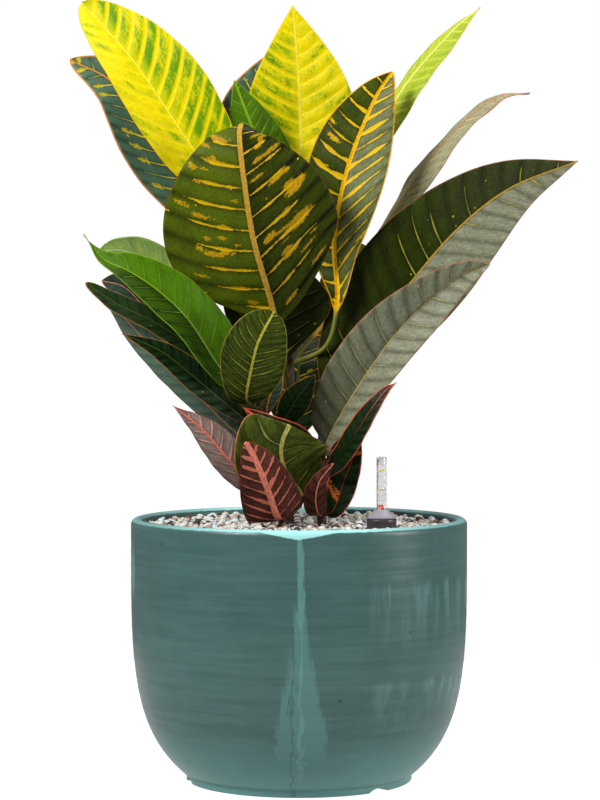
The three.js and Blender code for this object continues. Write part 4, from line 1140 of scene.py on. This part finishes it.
# The olive leaves: the big mature blades, dark olive with orange-yellow vein bands, blotches and
# specks, and a thick warm midrib. The blade stands up in pillows between the side veins.
# Waxed leaf, olive: yellow under the green warms it, and painted shade darkens the folds between
# the pillows
olive_top = leaf_skin(
    "leaf_wax_olive", "58680c 121a00 3c4606 ecc810 b8860a bd9434 6e3c18 5c5a1c",
    mottle_cut=(0.62, 0.85), speckle=0.35, rag=1.2, rim_width=0.35, gloss=0.1, pleat_shade=0.5,
    pores=(0.55, 1.35),
)
olive_under = leaf_skin(
    "leaf_back_olive", "6f7850 545c38 7d8660 8f9668 9aa074 b09a60 8a5a3a 5c5a1c", rough=(0.5, 0.6),
    mottle_cut=(0.6, 0.85), pleat_shade=0.3,
)
striped_top = leaf_skin(
    "leaf_wax_olive_striped", "4e5c04 182400 3a4a06 fad40c e6b004 f0b808 e8a400 7c7e36",
    mottle_cut=(0.62, 0.85), speckle=0.2, rag=0.9, rim_width=0.8, painted_sheen_colour="8f9468", gloss=0.14,
    pleat_shade=0.45, pores=(0.55, 1.35),
)
dusk_top = leaf_skin(
    "leaf_wax_olive_dark", "323e04 121a00 2c3606 98a024 a89c30 b08a30 a8603a 4c4818",
    mottle_cut=(0.7, 0.85), speckle=0.5, rag=0.3, rim_width=0.35, painted_sheen_colour="92947a", gloss=0.12,
    pleat_shade=0.4, line=0.05, pores=(0.55, 1.35),
)
ribbed_top = leaf_skin(
    "leaf_wax_olive_ribbed", "4a5a10 1c2804 54641e 84901e 8c9430 b0a83c 8a7a30 6a6a20",
    mottle_cut=(0.6, 0.85), speckle=0.08, rag=0.5, rim_width=0.5, gloss=0.12, pleat_shade=0.62,
    line=0.1, pores=(0.4, 1.5),
)
grey_top = leaf_skin(
    "leaf_wax_olive_grey", "3a4608 1c2604 344008 a8a860 b0a868 b09a50 a8603a 4c4818",
    mottle_cut=(0.7, 0.85), speckle=0.1, rag=0.3, rim_width=0.35, painted_sheen_colour="a2a48a", gloss=0.16,
    pleat_shade=0.4, pores=(0.65, 1.3),
)
slim_top = leaf_skin(
    "leaf_wax_olive_pale", "66703a 3a4a1c 747a46 c4bc80 bcae68 cc6e4c cc6a4c 8a7a40",
    mottle_cut=(0.6, 0.85), rag=0.4, rim_width=0.5, painted_sheen_colour="b0ac8c", gloss=0.16, pleat_shade=0.2,
    pores=(0.65, 1.3),
)
folded_back = leaf_skin(
    "leaf_back_olive_folded", "606e24 263208 5c6a20 a8b058 a0a058 c8c064 c07452 6a6a20",
    mottle_cut=(0.6, 0.85), rag=0.4, rim_width=0.6, gloss=0.1, pleat_shade=0.45, line=0.1,
    pores=(0.45, 1.45),
)
for name, top, *form, marks in (
    ("leaf_broad_front", olive_top, "main", 290, 58, [(-13, -16, 318), (-20, -28, 353),
     (-33, -49, 400), (-40, -58, 445), (-43, -55, 474), (-42, -46, 484)], 129, 0.47, (0.9, 0.66), 0,
     0, (-5, -11), (1.5, 2), 15.5, (80, 64), 1.2, 60, dict(band=(0.25, 1.0, 0.5),
     reach=(0.58, 0.84), rib=(2.0, 1.7), missing=0.04, scatter=46, shade=((0.1, 0.0), (0.9, 0.8)),
     blotches=[(1, 5.75, 37, 9, 4.2), (1, 4.1, 36, 11, 5.0), (1, 5.0, 27, 5, 2.5),
     (1, 4.5, 12, 6, 3.0), (1, 3.2, 22, 5, 2.6), (-1, 9.15, 16, 9, 2.2), (-1, 8.66, 26, 5, 1.8),
     (-1, 8.03, 19, 11, 2.2), (-1, 7.5, 36, 3.2, 2.8), (1, 8.3, 22, 9, 1.9), (1, 9.3, 20, 8, 1.8),
     (1, 10.0, 32, 6, 2.2), (-1, 7.0, 24, 10, 1.8)])),
    ("leaf_striped_right", striped_top, "main", 309, 60, [(20, -14, 323), (28, -20, 357),
     (26, -18, 401), (35, -14, 451), (54, -6, 501), (69, 4, 526)], 62, 0.56, (1.1, 0.8), 0, 0,
     (22, 20), (3.6, 2.2), 13, (88, 44), 1.1, 19, dict(band=(1.1, 1.2, 0.7), reach=(0.8, 0.95),
     rib=(2.2, 1.4), scatter=6, shade=((0.4, 0.2), (0.3, 0.1)), bloom=((0, 0), (0.1, 0.55, 0.7)))),
    ("leaf_slim_right", slim_top, "main", 322, 60,
     [(35, 18, 364), (74, 18, 427), (110, 14, 476), (146, 12, 507), (172, 10, 511)], 34, 0.5,
     (1, 1.1), -65, 0, (-10, -10), (1, 3), 10, (40, 40), 0.7, 20, dict(band=(0.5, 0.5, 0.3),
     rib=(0.6, 0.5), bloom=((0.5, 0.7, 0.85), (0.6, 0.8, 0.9)))),
    ("leaf_long_right", dusk_top, "right", 254, 24, [(23, -8, 279), (42, -12, 318), (82, -14, 369),
     (118, -10, 410), (157, -5, 440), (207, 0, 460)], 86, 0.4, (0.75, 1), -14, 46, (16, 14),
     (1.2, 3), 15, (72, 62), 1.0, 21, dict(band=(0.3, 0.3, 0.15), reach=(0.5, 0.85), rib=(0.8, 0.6),
     missing=0.5, shade=((0.5, 0.2), (0.3, 0.2)), bloom=((0, 0, 0.15), (0.3, 0.95, 1.0)))),
    ("leaf_grey_right", grey_top, "right", 236, 10, [(24, -20, 259), (42, -34, 291), (69, -42, 330),
     (96, -43, 358), (118, -40, 375), (139, -34, 383)], 58, 0.42, (0.6, 0.75), -18, 66, (30, 36),
     (1, 2), 13, (74, 70), 1.0, 22, dict(band=(0.2, 0.2, 0.1), rib=(0.7, 0.4), missing=0.5,
     shade=((0.3, 0.3), (0.9, 0.9)), bloom=((0.15, 0.65, 0.75), (0.6, 0.85, 0.95)))),
    ("leaf_oval_front", ribbed_top, "left", 284, 12,
     [(-38, -36, 284), (-34, -54, 309), (-29, -62, 327), (-18, -64, 348)], 48, 0.6, (1, 0.45), 0, 0,
     (6, 6), (0.8, 2), 6.2, (64, 64), 0.8, 23, dict(band=(0.32, 0.35, 0.21), reach=(0.7, 0.92),
     rib=(1.0, 0.9), missing=0.15, shade=((0.5, 0.3), (0.7, 0.5)))),
    ("leaf_dark_behind", dusk_top, "main", 300, 14,
     [(-15, -8, 331), (-16, -10, 360), (-13, -10, 386)], 80, 0.6, (0.9, 0.5), 0, 0, (3, 3),
     (0.6, 2), 12, (70, 70), 0.8, 24, dict(band=(0.27, 0.3, 0.18), rib=(1.2, 0.8))),
    ("leaf_rear_left", olive_top, "main", 300, 30,
     [(-30, 60, 370), (-50, 110, 420), (-60, 140, 430)], 66, 0.52, (1, 0.8), 0, 0, (14, 10),
     (1.2, 2), 12, (66, 66), 0.7, 25, dict(band=(0.63, 0.7, 0.42), scatter=10)),
    ("leaf_rear_right", olive_top, "main", 310, 30, [(34, 60, 356), (58, 110, 386), (70, 140, 378)],
     58, 0.5, (1, 0.8), 0, 0, (12, 10), (1.2, 2), 12, (66, 66), 0.7, 26,
     dict(band=(0.63, 0.7, 0.42), scatter=10)),
    ("leaf_rear_top", striped_top, "main", 402, 20, [(5, 42, 450), (8, 75, 500), (5, 95, 530)], 54,
     0.5, (1, 0.8), 0, 0, (14, 12), (1.2, 2), 12, (64, 64), 0.7, 27, dict(band=(1.1, 1.2, 0.72),
     scatter=6)),
    ("leaf_rear_upper_left", olive_top, "main", 380, 26,
     [(-35, 50, 430), (-70, 88, 470), (-85, 104, 480)], 56, 0.5, (1, 0.8), 0, 0, (14, 12), (1.2, 2),
     12, (66, 66), 0.7, 28, dict(band=(0.63, 0.7, 0.42), scatter=8)),
    ("leaf_rear_upper_right", striped_top, "main", 370, 26,
     [(24, 46, 420), (44, 78, 455), (54, 98, 470)], 48, 0.5, (1, 0.8), 0, 0, (14, 12), (1.2, 2), 11,
     (64, 64), 0.7, 29, dict(band=(0.99, 1.1, 0.66), scatter=6)),
):
    grow_leaf(name, [top, olive_under], "leaf_olive", *form, **marks)

# The dark leaves: small and shaded blades low in the plant, almost black-green with a few flecks,
# on short stalks. The folded one in front shows its ribbed back.
# Waxed leaf, dark green: hardly any light comes back except from the flecks and the wax
dark_top = leaf_skin(
    "leaf_wax_dark_green", "2a4a1c 0c1a06 284c2a b9b01c d89818 46561e a8703a 3c4a18",
    mottle_cut=(0.7, 0.85), speckle=0.3, rag=0.4, rim_width=0.45, gloss=0.14, pores=(0.55, 1.3),
)
dark_under = leaf_skin(
    "leaf_back_dark", "3f5444 34483a 4c6250 6c7a68 7a8676 b0806a 8a5a4a 3c4a18", rough=(0.5, 0.6),
    mottle_cut=(0.6, 0.85), pleat_shade=0.2,
)
for name, skins, *form, marks in (
    ("leaf_dark_left", [dark_top, dark_under], "left", 275, 12, [(-44, -16, 283), (-69, -24, 314),
     (-104, -30, 339), (-132, -32, 353), (-156, -32, 369)], 24, 0.6, (0.8, 0.55), 45, 0, (8, 8),
     (0.6, 2), 10, (55, 55), 0.4, 31, dict(missing=1.0, rib=(0.7, 0.4),
     shade=((0.6, 0.3), (0.6, 0.3)))),
    ("leaf_low_left_inner", [dark_top, dark_under], "left", 256, 12,
     [(-46, -25, 274), (-75, -38, 299), (-100, -46, 319), (-128, -50, 332)], 22, 0.5, (0.8, 1), 20,
     0, (10, 10), (0.5, 2), 9, (55, 55), 0.4, 32, dict(missing=1.0, rib=(0.5, 0.3),
     shade=((0.8, 0.8), (0.8, 0.8)))),
    ("leaf_folded_front", [folded_back, olive_under], "left", 203, 8, [(2, -20, 213),
     (-8, -34, 228), (-13, -43, 243), (-12, -47.5, 255), (-7, -49, 266)], 74, 0.84, (0.8, 0.2), 4,
     0, (8, 2), (0.5, 2), 11, (74, 78), 0.8, 33, dict(band=(0.3, 0.3, 0.15), reach=(0.6, 0.9),
     rib=(0.4, 1.9), missing=0.2, shade=((0.7, 0.3), (0.6, 0.2)))),
    ("leaf_small_centre", [dark_top, dark_under], "left", 258, 8,
     [(-10, -17, 271), (-1, -26, 285), (12, -34, 302)], 22, 0.5, (0.8, 0.9), 0, 0, (10, 10),
     (0.4, 2), 6, (60, 60), 0.4, 34, dict(missing=1.0, rib=(0.5, 0.3))),
    ("leaf_small_grey", [blue_top, blue_under], "left", 264, 8,
     [(-23, -18, 281), (-17, -27, 296), (-12, -30, 307)], 15, 0.5, (0.8, 0.9), 0, 0, (8, 8),
     (0.3, 2), 6, (60, 60), 0.3, 35, dict(missing=1.0, rib=(0.7, 0.5))),
    ("leaf_torn_right", [dark_top, dark_under], "right", 228, 8,
     [(31, -4, 248), (38, -8, 262), (46, -8, 276)], 26, 0.5, (0.8, 0.9), -20, 0, (8, 8), (0.6, 2),
     6, (60, 60), 0.5, 36, dict(band=(0.27, 0.3, 0.18))),
    ("leaf_rear_low", [dark_top, dark_under], "main", 232, 24,
     [(-3, 30, 268), (0, 56, 308), (4, 96, 332), (8, 136, 326)], 62, 0.4, (0.7, 0.8), 0, 0,
     (10, 10), (1.2, 2), 12, (66, 66), 0.7, 37, dict(band=(0.45, 0.5, 0.3), scatter=8)),
    ("leaf_rear_low_left", [dark_top, dark_under], "main", 240, 24,
     [(-45, 50, 280), (-72, 90, 302), (-90, 110, 305)], 50, 0.5, (1, 0.8), 0, 0, (12, 10), (1, 2),
     11, (66, 66), 0.7, 38, dict(band=(0.45, 0.5, 0.3), scatter=8)),
    ("leaf_rear_low_right", [dark_top, dark_under], "right", 244, 20,
     [(32, 50, 262), (38, 88, 280), (38, 112, 284)], 36, 0.5, (1, 0.8), 0, 0, (12, 10), (1, 2), 10,
     (66, 66), 0.7, 39, dict(band=(0.45, 0.5, 0.3), scatter=6)),
):
    grow_leaf(name, skins, "leaf_dark", *form, **marks)

# The maroon leaves: the lowest ones, green above and maroon below, with coral veins that branch
# out of the midrib. They hang over the granules on short stalks.
# Waxed leaf, maroon: red in the lower skin gives a dull brown with glowing coral veins
coral_top = leaf_skin(
    "leaf_wax_coral_edged", "1a3610 081606 274a30 d8a024 e0663a d8553f d0503c 5a3a24",
    mottle_cut=(0.7, 0.85), speckle=0.25, rag=0.5, rim_width=0.6, gloss=0.2,
)
maroon_back = leaf_skin(
    "leaf_back_maroon", "8a5042 341a14 5c342a ff9a80 d86a54 fc947a 4a2a20 7a4a38",
    rough=(0.45, 0.58), mottle_cut=(0.55, 0.8), rag=1.4, rim_width=0.3, gloss=0.12, pleat_shade=0.55,
    pores=(0.4, 1.5),
)
mauve_back = leaf_skin(
    "leaf_back_mauve", "ac9288 7c6660 988074 ecb8a8 dc9484 e8806c 5a3a3a 7a4a38",
    rough=(0.45, 0.58), mottle_cut=(0.55, 0.8), rag=0.5, rim_width=0.3, gloss=0.16, pleat_shade=0.35,
    pores=(0.6, 1.35),
)
grow_leaf(
    "leaf_dark_tip", [coral_top, dark_under], "leaf_dark", "right", 215, 24,
    [(13, -19, 236), (0, -34, 254), (-20, -37, 264), (-41, -32, 278)], 20, 0.5, (0.8, 0.9), 0, 0,
    (4, 4), (0.3, 2), 9, (56, 56), 0.4, 40, missing=1.0, rib=(0.5, 0.9),
)
for name, under, *form, marks in (
    ("leaf_maroon_front", maroon_back, "left", 195.5, 5,
     [(-16, -32, 198), (-23, -55, 220), (-31, -70, 241), (-38, -80, 255)], 45, 0.3, (0.5, 0.66),
     180, 0, (8, 8), (0.6, 2), 11, (52, 56), 0.6, 41, dict(band=(1.7, 1.15, 0.8),
     reach=(0.85, 0.98), rib=(2.5, 1.8), shade=((0.5, 0.3), (0.7, 0.5)))),
    ("leaf_maroon_left", mauve_back, "left", 206, 8,
     [(-27, -22, 214), (-50, -40, 239), (-69, -50, 262), (-91, -56, 280)], 32, 0.45, (0.8, 1), 150,
     0, (8, 8), (0.6, 2), 11, (50, 50), 0.5, 42, dict(band=(0.9, 0.6, 0.4), reach=(0.7, 0.95),
     rib=(1.4, 0.7), shade=((0.3, 0.2), (0.4, 0.3)))),
    ("leaf_maroon_right", maroon_back, "right", 197, 5,
     [(14, -22, 200), (12, -36, 211), (15, -44, 225), (25, -48, 238)], 18, 0.5, (0.8, 0.8), -170, 0,
     (8, 8), (0.4, 2), 9, (56, 56), 0.3, 43, dict(missing=1.0, rib=(0.5, 0.3),
     shade=((0.6, 0.4), (0.6, 0.4)))),
    ("leaf_coral_tip", maroon_back, "right", 222, 9, [(28, -32, 238), (39, -55, 256),
     (50, -66, 275), (61, -68, 290), (70, -66, 297)], 18, 0.5, (0.7, 0.8), -30, 0, (8, 8), (0.5, 2),
     9, (56, 56), 0.4, 44, dict(missing=1.0, rib=(-0.6, 0.3))),
    ("leaf_coral_edge", maroon_back, "right", 197, 5,
     [(26, -8.5, 202), (34.5, -14, 226), (46, -17, 254)], 22, 0.45, (0.6, 0.9), -15, 0, (8, 8),
     (0.4, 2), 8, (56, 56), 0.4, 45, dict(missing=1.0, rib=(0.1, 0.1), scatter=3)),
    ("leaf_rear_maroon_left", maroon_back, "main", 208, 10, [(-34, 34, 234), (-58, 62, 254)], 30,
     0.5, (0.8, 0.8), 0, 0, (8, 8), (0.6, 2), 10, (56, 56), 0.7, 46, dict(band=(0.54, 0.6, 0.36))),
    ("leaf_rear_maroon_right", maroon_back, "right", 208, 10, [(24, 50, 226), (30, 85, 234)], 26,
     0.5, (0.8, 0.8), 0, 0, (8, 8), (0.6, 2), 9, (56, 56), 0.7, 47, dict(band=(0.45, 0.5, 0.3))),
):
    grow_leaf(name, [coral_top, under], "leaf_maroon", *form, **marks)
